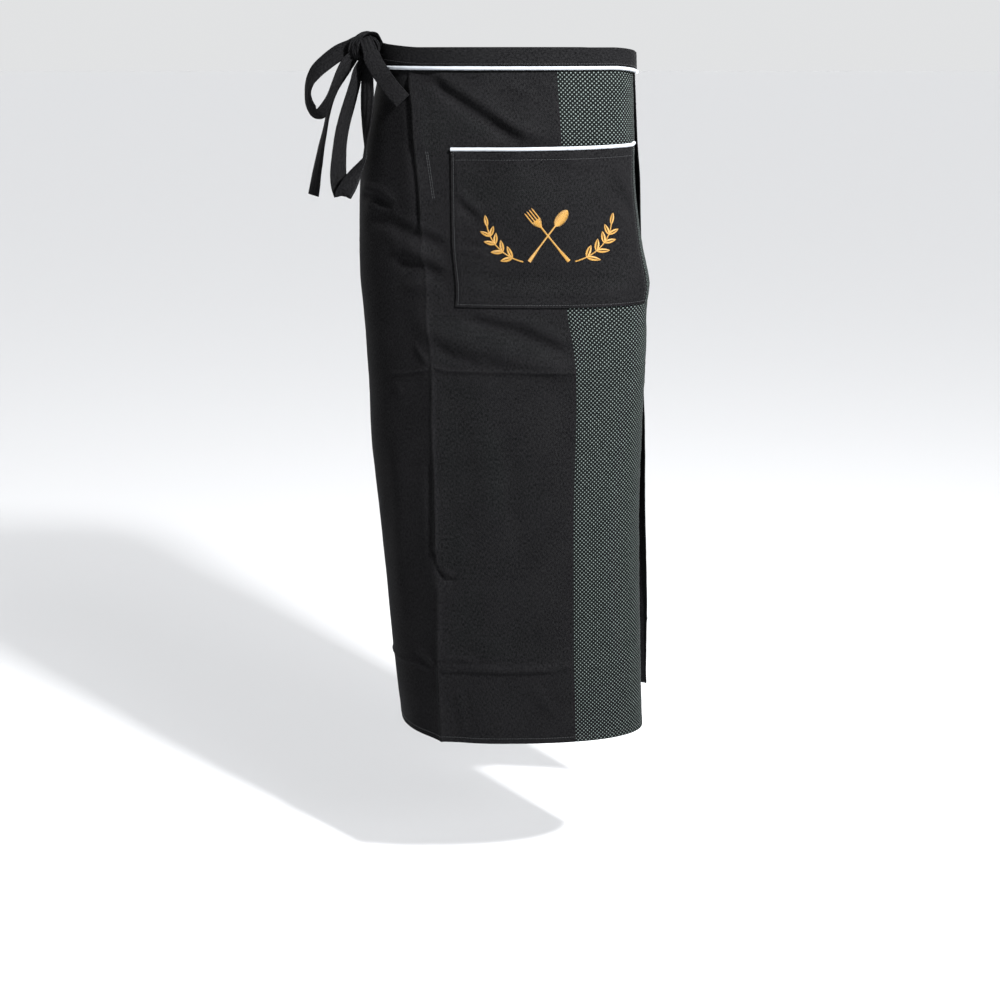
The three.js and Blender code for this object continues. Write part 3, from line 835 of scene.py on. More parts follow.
@dataclass(frozen=True)
class PipingFinish:
    """White cotton bias tape over a cord: matt and clean, with fine cross threads.

    The threads lie about 0.4 mm apart, too fine for the render, so they are drawn at 1 mm.
    """

    name: str = "white cotton piping"
    colour: str = "#abafb4"
    shade: str = "#8d9299"
    thread: float = 1.0

    def build(self) -> bpy.types.Material:
        """Makes the material."""
        material, tree, shader = new_material(self.name)
        place = add_node(tree, "ShaderNodeTexCoord").outputs["Object"]
        threads = add_node(tree, "ShaderNodeTexNoise", inputs={
            "Vector": place, "Scale": 1 / (self.thread * MM), "Detail": 2.0})
        colour = add_node(tree, "ShaderNodeMix", {"data_type": "RGBA"}, {
            "Factor": threads.outputs["Fac"], 6: linear(self.shade), 7: linear(self.colour)})
        bump = add_node(tree, "ShaderNodeBump", inputs={
            "Height": threads.outputs["Fac"], "Strength": 0.5, "Distance": 0.15 * MM})
        tree.links.new(bump.outputs[0], shader.inputs["Normal"])
        tree.links.new(colour.outputs[2], shader.inputs["Base Color"])
        shader.inputs["Roughness"].default_value = 0.7
        shader.inputs["Sheen Weight"].default_value = 0.1
        return material


@dataclass(frozen=True)
class ThreadFinish:
    """Twisted sewing or embroidery thread: the fibres give it a soft gloss along its length.

    Its tone wanders between dark and light, about once a millimetre.
    """

    name: str
    dark: str
    light: str
    roughness: float = 0.42
    sheen: float = 0.3

    def build(self) -> bpy.types.Material:
        """Makes the material."""
        material, tree, shader = new_material(self.name)
        place = add_node(tree, "ShaderNodeTexCoord").outputs["Object"]
        strands = add_node(tree, "ShaderNodeTexNoise", inputs={
            "Vector": place, "Scale": 900.0, "Detail": 2.0})
        colour = add_node(tree, "ShaderNodeMix", {"data_type": "RGBA"}, {
            "Factor": strands.outputs["Fac"], 6: linear(self.dark), 7: linear(self.light)})
        tree.links.new(colour.outputs[2], shader.inputs["Base Color"])
        shader.inputs["Roughness"].default_value = self.roughness
        shader.inputs["Sheen Weight"].default_value = self.sheen
        shader.inputs["Sheen Roughness"].default_value = 0.3
        return material


@dataclass(frozen=True)
class FloorFinish:
    """Matt white paint: plain and pale."""

    name: str = "matt white studio paint"
    colour: str = "#d2d3d5"

    def build(self) -> bpy.types.Material:
        """Makes the material."""
        material, tree, shader = new_material(self.name)
        place = add_node(tree, "ShaderNodeTexCoord").outputs["Object"]
        grain = add_node(tree, "ShaderNodeTexNoise", inputs={"Vector": place, "Scale": 60.0})
        bump = add_node(tree, "ShaderNodeBump", inputs={
            "Height": grain.outputs["Fac"], "Strength": 0.05, "Distance": 0.2 * MM})
        tree.links.new(bump.outputs[0], shader.inputs["Normal"])
        shader.inputs["Base Color"].default_value = linear(self.colour)
        shader.inputs["Roughness"].default_value = 1.0
        shader.inputs["Specular IOR Level"].default_value = 0.0
        return material


@dataclass(frozen=True)
class Finishes:
    """Every material of the apron, made once."""

    black_twill: bpy.types.Material
    dotted_twill: bpy.types.Material
    tie_twill: bpy.types.Material
    white_piping: bpy.types.Material
    gold_thread: bpy.types.Material
    grey_thread: bpy.types.Material

    @classmethod
    def make(cls) -> "Finishes":
        """Builds the materials."""
        return cls(
            black_twill=TwillFinish("black cotton twill", "#030304", "#1a1a1b").build(),
            dotted_twill=DottedTwillFinish(
                "black cotton twill with woven dots", "#030404", "#121414").build(),
            tie_twill=TwillFinish("black cotton twill tape", "#040405", "#1a1a1b").build(),
            white_piping=PipingFinish().build(),
            gold_thread=ThreadFinish("gold viscose embroidery thread", "#7c5319", "#b08a3f").build(),
            grey_thread=ThreadFinish(
                "charcoal polyester sewing thread", "#121315", "#2b2c2f", 0.6, 0.15).build(),
        )


# Node trees for what repeats or follows a path


def start_tree(name: str, lengths: Sequence[str]) -> tuple[bpy.types.NodeTree, bpy.types.Collection]:
    """Starts a tree that is given guide lines, some numbers and a material.

    Args:
        name: the tree's name.
        lengths: names of its number inputs.

    Returns:
        The tree, and the sockets of what it is given, by name.
    """
    tree = bpy.data.node_groups.new(name, "GeometryNodeTree")
    face = tree.interface
    face.new_socket("Geometry", in_out="INPUT", socket_type="NodeSocketGeometry")
    for length in lengths:
        face.new_socket(length, in_out="INPUT", socket_type="NodeSocketFloat")
    face.new_socket("Material", in_out="INPUT", socket_type="NodeSocketMaterial")
    face.new_socket("Geometry", in_out="OUTPUT", socket_type="NodeSocketGeometry")
    return tree, add_node(tree, "NodeGroupInput").outputs


def even_curve(tree: bpy.types.NodeTree, lines: bpy.types.NodeSocket,
               step: bpy.types.NodeSocket) -> bpy.types.NodeSocket:
    """Turns guide lines into a curve with even points.

    Args:
        tree: the tree.
        lines: the guide lines.
        step: distance between two points.

    Returns:
        The curve.
    """
    curve = add_node(tree, "GeometryNodeMeshToCurve", inputs={"Mesh": lines})
    return add_node(tree, "GeometryNodeResampleCurve", {"mode": "LENGTH"}, {
        "Curve": curve.outputs[0], "Length": step}).outputs[0]


def end_tree(tree: bpy.types.NodeTree, geometry: bpy.types.NodeSocket,
             material: bpy.types.NodeSocket) -> None:
    """Makes the tree's result real and gives it its material.

    Args:
        tree: the tree.
        geometry: what it has made.
        material: the material that it is given.
    """
    real = add_node(tree, "GeometryNodeRealizeInstances", inputs={"Geometry": geometry})
    dressed = add_node(tree, "GeometryNodeSetMaterial", inputs={
        "Geometry": real.outputs[0], "Material": material})
    add_node(tree, "NodeGroupOutput", inputs={"Geometry": dressed.outputs[0]})


def run_tree(name: str, guide_lines: bpy.types.Mesh, tree: bpy.types.NodeTree,
             values: dict[str, object]) -> bpy.types.Object:
    """Runs a tree once and keeps its result as a plain mesh.

    Args:
        name: the new object's name.
        guide_lines: the mesh that the tree is given.
        tree: the tree.
        values: its other inputs, by name.

    Returns:
        The new object, without the guide or a modifier.
    """
    guide = place_object(name + "_guide", guide_lines)
    modifier = guide.modifiers.new("tree", "NODES")
    modifier.node_group = tree
    for item in tree.interface.items_tree:
        if item.in_out == "INPUT" and item.name in values:
            modifier[item.identifier] = values[item.name]
    bpy.context.view_layer.update()
    seen = guide.evaluated_get(bpy.context.evaluated_depsgraph_get())
    result = bpy.data.meshes.new_from_object(seen)
    result.name = name
    bpy.data.objects.remove(guide)
    return place_object(name, result)


@dataclass
class ThreadPath:
    """Where a row of stitches runs, with each stitch's direction, length and face."""

    points: Array
    outs: Array
    lay: Array
    reach: Array

    @classmethod
    def running(cls, points: Array, outs: Array, length: float) -> "ThreadPath":
        """A row of stitches that lie along the path.

        Args:
            points: the path, in millimetres.
            outs: outward directions of the cloth there.
            length: length of one stitch.

        Returns:
            The path.
        """
        return cls(points, outs, unit(np.gradient(points, axis=0)), np.full(len(points), length))


class ThreadRows:
    """Lays threads along paths, by a node tree that repeats one rounded thread."""

    seed = 7

    def __init__(self) -> None:
        """Builds the tree: even points on the path, and a thread of its own length at each."""
        tree, given = start_tree("thread rows", ("Pitch", "Width", "Height", "Jitter"))
        even = even_curve(tree, given["Geometry"], given["Pitch"])
        thread = add_node(tree, "GeometryNodeMeshUVSphere", inputs={
            "Segments": 6, "Rings": 5, "Radius": 0.5})
        stood = add_node(tree, "GeometryNodeTransform", inputs={
            "Geometry": thread.outputs[0], "Rotation": (0.0, math.pi / 2, 0.0)})
        round_thread = add_node(tree, "GeometryNodeSetShadeSmooth", inputs={
            "Geometry": stood.outputs[0]})
        lay, out = (add_node(tree, "GeometryNodeInputNamedAttribute", {"data_type": "FLOAT_VECTOR"}, {
            "Name": name}).outputs[0] for name in ("lay", "out"))
        reach = add_node(tree, "GeometryNodeInputNamedAttribute", {"data_type": "FLOAT"}, {
            "Name": "reach"}).outputs[0]
        turned = add_node(tree, "FunctionNodeAlignRotationToVector", {
            "axis": "X", "pivot_axis": "AUTO"}, {"Vector": lay})
        faced = add_node(tree, "FunctionNodeAlignRotationToVector", {
            "axis": "Z", "pivot_axis": "X"}, {"Rotation": turned.outputs[0], "Vector": out})
        varied = add_node(tree, "FunctionNodeRandomValue", {"data_type": "FLOAT"}, {
            2: calculate(tree, "SUBTRACT", 1.0, given["Jitter"]),
            3: calculate(tree, "ADD", 1.0, given["Jitter"]), "Seed": self.seed})
        scale = add_node(tree, "ShaderNodeCombineXYZ", inputs={
            0: calculate(tree, "MULTIPLY", reach, varied.outputs[1]),
            1: given["Width"], 2: given["Height"]})
        rows = add_node(tree, "GeometryNodeInstanceOnPoints", inputs={
            "Points": even, "Instance": round_thread.outputs[0],
            "Rotation": faced.outputs[0], "Scale": scale.outputs[0]})
        end_tree(tree, rows.outputs[0], given["Material"])
        self.tree = tree

    def lay(self, name: str, paths: Sequence[ThreadPath], material: bpy.types.Material,
            pitch: float, width: float, height: float, jitter: float) -> bpy.types.Object:
        """Makes one mesh of all threads on the paths.

        Args:
            name: the new object's name.
            paths: the rows.
            material: the thread's finish.
            pitch: distance from one thread to the next, in millimetres.
            width: the thread's width.
            height: its height above the cloth.
            jitter: how much the lengths vary, as a share.

        Returns:
            The threads as a plain mesh.
        """
        points = np.concatenate([path.points for path in paths])
        starts = np.cumsum([0] + [len(path.points) for path in paths])
        edges = [(k, k + 1) for a, b in zip(starts, starts[1:]) for k in range(a, b - 1)]
        mesh = bpy.data.meshes.new(name)
        mesh.from_pydata((points * MM).tolist(), edges, [])
        for key, rows in (("lay", [p.lay for p in paths]), ("out", [p.outs for p in paths])):
            data = mesh.attributes.new(key, "FLOAT_VECTOR", "POINT").data
            data.foreach_set("vector", np.concatenate(rows).astype(np.float32).ravel())
        reach = np.concatenate([path.reach for path in paths]) * MM
        mesh.attributes.new("reach", "FLOAT", "POINT").data.foreach_set("value", reach.astype(np.float32))
        return run_tree(name, mesh, self.tree, {
            "Pitch": pitch * MM, "Width": width * MM, "Height": height * MM, "Jitter": jitter,
            "Material": material})


# The wrap


class Wrap:
    """The two panels of the wrap, with hems, seam and creases."""

    hem_depth = 8.0
    side_hem = 7.0
    stitch_in = 6.6
    # Ends of the bar tack beside the pocket, which holds the fold behind it
    tack_top = (278.0, -110.0)
    tack_end = (272.0, -162.0)
    front_step = 2.7
    back_step = 6.0
    row_step = 3.9
    # Heights between which pressed creases run across and the rows lie closer
    fine_step = 1.6
    fine_rows = ((-362.0, -384.0), (-616.0, -642.0), (-742.0, -768.0))
    # Creases over the main folds, from the pressing and from how the cloth hangs. Columns: name,
    # path, half width, height, fade at the ends, and the profile where it isn't soft
    crease_rows = (
        ("tuck, top", ((305, -8), (299, -20), (296, -52), (295, -112)), 3.0, 4.4, 0.12, Profile.STEP),
        ("tuck, low", ((296, -96), (292, -142), (290, -212)), 3.2, 3.4, 0.15, Profile.STEP),
        ("pressed edge", ((291, -176), (290, -300), (295, -366)), 2.6, 1.9, 0.12, Profile.PRESSED),
        ("pressed edge, middle", ((294, -356), (297, -434), (291, -560), (291, -632)),
         2.6, 3.0, 0.08, Profile.PRESSED),
        ("pressed edge, low", ((288, -640), (291, -748), (290, -900)), 2.6, 3.0, 0.05, Profile.PRESSED),
        ("corner of the pressing", ((292, -470), (290, -1100)), 28.0, 5.5, 0.30, Profile.PRESSED),
        ("shade by the edge", ((301, -470), (299, -626)), 6.0, -2.2, 0.25),
        ("drag ridge", ((266, -11), (245, -31), (222, -46), (194, -65), (172, -81), (152, -93)),
         6.0, 2.3, 0.15),
        ("drag valley", ((273, -21), (254, -42), (231, -58), (203, -77), (180, -93), (160, -102)),
         6.5, -2.2, 0.15),
        ("second drag ridge", ((206, -56), (184, -72), (150, -86), (130, -92)), 4.0, 1.5, 0.3),
        ("upper drag", ((185, -24), (166, -37), (140, -46)), 5.0, 1.6, 0.3),
        ("far drag", ((152, -20), (130, -34), (112, -38)), 4.5, 1.4, 0.3),
        ("light by the tuck", ((286, -34), (283, -120)), 8.0, 1.2, 0.3),
        ("bow pull", ((392, -150), (384, -154), (345, -158), (321, -170)), 4.8, 3.0, 0.18),
        ("bow pull's valley", ((392, -162), (350, -169), (326, -181)), 5.0, -2.7, 0.18),
        ("hip pull", ((388, -174), (336, -180), (314, -189), (289, -198), (266, -207), (240, -212)),
         7.5, 3.0, 0.15),
        ("hip pull's valley", ((380, -192), (338, -197), (316, -206), (290, -215), (262, -221)),
         8.0, -2.8, 0.18),
        ("second hip pull", ((340, -226), (294, -231), (270, -243), (254, -246)), 7.5, 2.2, 0.2),
        ("second hip valley", ((338, -240), (296, -246), (270, -258)), 7.5, -1.6, 0.2),
        ("third hip pull", ((330, -269), (286, -269), (262, -274)), 7.0, 1.8, 0.25),
        ("ridge below the pocket", ((294, -322), (258, -335), (222, -346), (188, -358), (122, -371)),
         12.5, 3.2, 0.12),
        ("ridge at the pocket", ((236, -295), (176, -308), (150, -323), (121, -340)), 8.5, 2.9, 0.15),
        ("shade between them", ((244, -308), (180, -324), (152, -339), (121, -354)), 8.5, -2.2, 0.15),
        ("shade below the ridge", ((291, -340), (268, -354), (234, -363)), 6.0, -2.0, 0.25),
        ("pressed across, side", ((362, -383), (340, -379), (299, -371)), 2.2, 2.2, 0.12, Profile.PRESSED),
        ("pressed across", ((297, -365), (280, -371), (217, -372), (110, -373)),
         2.2, 2.8, 0.06, Profile.PRESSED),
        ("fold to the edge", ((316, -338), (308, -350), (298, -365)), 4.2, 1.9, 0.25),
        ("side blotch", ((358, -393), (336, -404)), 7.0, 1.5, 0.3),
        ("nick", ((294, -598), (291, -625), (282, -639), (264, -638)), 2.6, -3.4, 0.15, Profile.PRESSED),
        ("nick's fill", ((286, -627), (270, -630)), 4.0, 2.2, 0.3),
        ("low ridge", ((293, -757), (250, -755), (214, -757), (168, -756), (118, -754)), 5.0, 3.2, 0.06),
        ("low pressed", ((293, -761), (250, -759), (214, -760), (168, -759), (140, -758)),
         2.2, 1.8, 0.08, Profile.PRESSED),
        ("low corner", ((292, -748), (264, -742), (236, -748)), 7.0, 2.8, 0.3),
        ("low side ridge", ((330, -738), (312, -744), (293, -755)), 4.2, 2.2, 0.2),
        ("low side crease", ((430, -764), (364, -762), (326, -758), (296, -762)),
         3.2, 2.0, 0.12, Profile.PRESSED),
        ("low drag", ((176, -772), (160, -800), (136, -830)), 8.0, 1.7, 0.25),
        ("low vertical", ((268, -775), (262, -850)), 6.0, 1.4, 0.3),
        ("long swell", ((240, -400), (226, -520), (236, -600)), 18.0, 2.2, 0.3),
        ("long dip", ((206, -420), (196, -540), (176, -640)), 14.0, -1.8, 0.3),
        ("side swell", ((352, -430), (346, -560), (356, -700)), 16.0, 2.2, 0.25),
        ("back pressed", ((560, -14), (560, -900)), 4.0, 1.6, 0.04, Profile.PRESSED),
        ("back pressed across", ((470, -372), (850, -372)), 2.4, 1.3, 0.04, Profile.PRESSED),
        ("back low across", ((470, -757), (850, -757)), 2.4, 1.3, 0.04, Profile.PRESSED),
        ("seat drag", ((700, -60), (650, -120), (600, -190)), 14.0, 2.6, 0.3),
        ("seat hollow", ((660, -50), (560, -150)), 12.0, -2.4, 0.3),
        ("side drag", ((520, -40), (450, -150)), 12.0, 2.2, 0.3),
        ("side hollow", ((500, -30), (420, -130)), 10.0, -2.0, 0.3),
        ("strip's back edge", ((40, -300), (44, -850)), 9.0, 0.7, 0.15),
        ("strip's drag", ((84, -36), (60, -66), (34, -84)), 5.0, 0.9, 0.3),
        ("strip pressed across", ((108, -372), (4, -374)), 2.4, 1.0, 0.08, Profile.PRESSED),
        ("strip low across", ((112, -755), (4, -756)), 2.6, 1.2, 0.08, Profile.PRESSED),
    )

    def __init__(self, form: WornForm) -> None:
        """Keeps the form that the wrap hangs on."""
        self.creases = [Crease(*row) for row in self.crease_rows]
        self.form = form
        self.sizes = form.sizes
        self.swell = ClothNoise(11)
        self.ripple = ClothNoise(23)
        self.pucker = ClothNoise(37)

    def relief(self, distance: Array, z: Array) -> Array:
        """Height of creases, swells and hems above the folded form.

        Args:
            distance: distances from the front free edge.
            z: heights.

        Returns:
            Heights in millimetres.
        """
        sizes = self.sizes
        total = sum(crease.at(distance, z) for crease in self.creases)
        total = total + 0.9 * self.swell.at(distance, z, (70.0, 120.0))
        total = total + 0.32 * self.ripple.at(distance + 0.4 * z, z, (24.0, 46.0))
        total = total + 0.10 * self.ripple.at(distance, z + 500, (9.0, 13.0))
        total = total * smooth((sizes.panel_top - z) / 24.0) * self.form.pocket_calm(distance, z)
        hem = z - sizes.panel_bottom
        total = total + self.hem_shape(hem, distance) + self.seam(distance)
        total = total + self.hem_shape(distance, z)
        return total + self.hem_shape(self.form.width - distance, z)

    def hem_shape(self, inwards: Array, along: Array) -> Array:
        """Folded hem: a little thicker, drawn in at the stitches, with puckers between them.

        Args:
            inwards: distance from the cloth's edge.
            along: distance along the edge.

        Returns:
            Heights in millimetres.
        """
        thick = 0.35 * (1.0 - smooth((inwards - self.hem_depth) / 1.8))
        drawn = -0.30 * np.exp(-(((inwards - self.stitch_in) / 1.3) ** 2))
        waves = self.pucker.at(along, np.zeros_like(along), (7.0, 50.0))
        return thick + drawn + 0.28 * waves * np.exp(-((inwards - self.stitch_in) / 6.0) ** 2)

    def heights(self) -> Array:
        """Rows of the panels, closer at the hem."""
        sizes = self.sizes
        low = sizes.panel_bottom
        near_hem = low + np.array([12.0, 10.0, 8.6, 7.6, 6.6, 5.6, 4.2, 2.4, 1.0, 0.0])
        rows, start = [], sizes.panel_top
        for top, bottom in self.fine_rows:
            rows += [evenly(start, top, self.row_step)[:-1], evenly(top, bottom, self.fine_step)[:-1]]
            start = bottom
        return np.concatenate(rows + [evenly(start, low + 14.0, self.row_step), near_hem])

    def panel(self, name: str, distances: Array, material: bpy.types.Material) -> bpy.types.Object:
        """Makes one panel as a closed sheet.

        Args:
            name: the object's name.
            distances: its columns.
            material: its finish.

        Returns:
            The panel.
        """
        d, z = np.meshgrid(distances, self.heights())
        relief = self.relief(d, z)
        outer = self.form.cloth(d, z, relief)
        inner = self.form.cloth(d, z, relief - self.sizes.cloth)
        return wall(name, outer, inner, np.stack([d, z], -1) * MM, material)

    def build(self, finishes: Finishes) -> None:
        """Args:
            finishes: the materials.
        """
        sizes, width = self.sizes, self.form.width
        edge = np.array([0.0, 1.0, 2.4, 4.2, 5.6, 6.6, 7.6, 8.8, 10.5])
        strip = np.concatenate([edge, evenly(13.0, sizes.strip_width - 3.0, self.front_step),
                                sizes.strip_width - np.array([1.6, 0.6, 0.05])])
        dotted = self.panel("dotted_cloth", strip, finishes.dotted_twill)
        finish_piece(dotted, ["dotted_panel"])
        front = sizes.strip_width + np.array([0.05, 0.6, 1.6])
        columns = np.concatenate([
            front, evenly(sizes.strip_width + 3.0, 284.0, self.front_step),
            evenly(284.0, 312.0, 1.5)[1:], evenly(312.0, 345.0, self.front_step)[1:],
            evenly(345.0, width - 12.0, self.back_step)[1:], width - edge[::-1]])
        main = self.panel("wrap_cloth", columns, finishes.black_twill)
        finish_piece(main, ["main_panel"])

    def seam(self, distance: Array) -> Array:
        """Depth of the ditch where the two panels are joined."""
        return -0.7 * np.exp(-(((distance - self.sizes.strip_width) / 1.4) ** 2))

    def stitch_paths(self) -> list[ThreadPath]:
        """Rows of stitches at the hem and at both free edges, and the bar tack."""
        sizes, width = self.sizes, self.form.width
        bottom = sizes.panel_bottom + self.stitch_in
        rows = [(evenly(3.0, width - 3.0, 2.0), bottom)]
        sides = evenly(sizes.panel_top - 6.0, bottom, 2.0)
        rows += [(self.stitch_in, sides), (width - self.stitch_in, sides)]
        tack = evenly(0.0, 1.0, 0.04)
        rows += [(self.tack_top[0] + tack * (self.tack_end[0] - self.tack_top[0]) + aside,
                  self.tack_top[1] + tack * (self.tack_end[1] - self.tack_top[1]))
                 for aside in (0.0, 2.2)]
        paths = []
        for distance, z in rows:
            d, h = np.broadcast_arrays(np.asarray(distance, float), np.asarray(z, float))
            points = self.form.cloth(d, h, self.relief(d, h) + 0.10)
            paths.append(ThreadPath.running(points, self.form.outs(d, h), 2.7))
        return paths


# Waistband and its piping


class Waistband:
    """The folded band along the wrap's top, topstitched, with white piping under it."""

    stitch_height = -7.4

    def __init__(self, form: WornForm) -> None:
        """Keeps the form that the band lies on."""
        self.form = form
        self.sizes = form.sizes
        self.pucker = ClothNoise(41)

    def relief(self, distance: Array, z: Array) -> Array:
        """Drawn in at the stitches and full between them, in millimetres."""
        drawn = -0.35 * np.exp(-(((z - self.stitch_height) / 1.4) ** 2))
        waves = self.pucker.at(distance, z, (9.0, 60.0)) * 0.35
        crown = 0.25 * (1.0 - (z / self.sizes.band_top) ** 2)
        return drawn + crown + waves * np.exp(-(((z - self.stitch_height) / 6.0) ** 2))

    def cloth_path(self, distance: Array, z: float, offset: float) -> Array:
        """Points on the band's outer face, in millimetres."""
        d = np.asarray(distance, float)
        h = np.full_like(d, z)
        return self.form.cloth(d, h, self.sizes.band_outer + self.relief(d, h) + offset)

    def build(self, finishes: Finishes) -> None:
        """Args:
            finishes: the materials.
        """
        sizes, form = self.sizes, self.form
        heights = sizes.band_top - np.array([0, 0.7, 2, 4, 7, 10, 13, 15.2, 16.4, 17.4, 18.4, 19.4, 20])
        d, z = np.meshgrid(evenly(0.0, form.width, 3.0), heights)
        relief = self.relief(d, z)
        outer = form.cloth(d, z, sizes.band_outer + relief)
        inner = form.cloth(d, z, sizes.band_outer - sizes.band + relief * 0.3)
        band = wall("waistband_cloth", outer, inner, np.stack([z, d], -1) * MM, finishes.tie_twill)
        finish_piece(band, ["waistband"])

    def stitch_paths(self) -> list[ThreadPath]:
        """The row of topstitches along the band's lower edge."""
        distance = evenly(2.0, self.form.width - 2.0, 2.0)
        points = self.cloth_path(distance, self.stitch_height, 0.12)
        outs = self.form.outs(distance, np.full_like(distance, self.stitch_height))
        return [ThreadPath.running(points, outs, 2.6)]


class Piping:
    """A cord in white bias tape, swept by a node tree along a path."""

    sides = 14
    step = 1.5
    uneven = 0.10

    def __init__(self) -> None:
        """Builds the tree: even points on the path, and a slightly uneven circle swept along it."""
        tree, given = start_tree("piping", ("Step", "Radius", "Uneven"))
        even = even_curve(tree, given["Geometry"], given["Step"])
        noise = add_node(tree, "ShaderNodeTexNoise", inputs={
            "Vector": add_node(tree, "GeometryNodeInputPosition").outputs[0], "Scale": 130.0})
        spread = add_node(tree, "ShaderNodeMapRange", inputs={
            "Value": noise.outputs[0], "From Min": 0.3, "From Max": 0.7})
        scale = calculate(tree, "MULTIPLY_ADD", spread.outputs[0], given["Uneven"], 1.0)
        circle = add_node(tree, "GeometryNodeCurvePrimitiveCircle", inputs={
            "Resolution": self.sides, "Radius": given["Radius"]})
        swept = add_node(tree, "GeometryNodeCurveToMesh", inputs={
            "Curve": even, "Profile Curve": circle.outputs[0], "Scale": scale, "Fill Caps": True})
        soft = add_node(tree, "GeometryNodeSetShadeSmooth", inputs={"Geometry": swept.outputs[0]})
        end_tree(tree, soft.outputs[0], given["Material"])
        self.tree = tree

    def sweep(self, name: str, path: Array, diameter: float,
              material: bpy.types.Material) -> bpy.types.Object:
        """Makes the piping along a path.

        Args:
            name: the object's name.
            path: the cord's middle line, in millimetres.
            diameter: the cord's diameter.
            material: its finish.

        Returns:
            The piping as a plain mesh.
        """
        mesh = bpy.data.meshes.new(name)
        mesh.from_pydata((path * MM).tolist(), [(k, k + 1) for k in range(len(path) - 1)], [])
        return run_tree(name, mesh, self.tree, {
            "Step": self.step * MM, "Radius": diameter / 2 * MM, "Uneven": self.uneven,
            "Material": material})


# The pocket


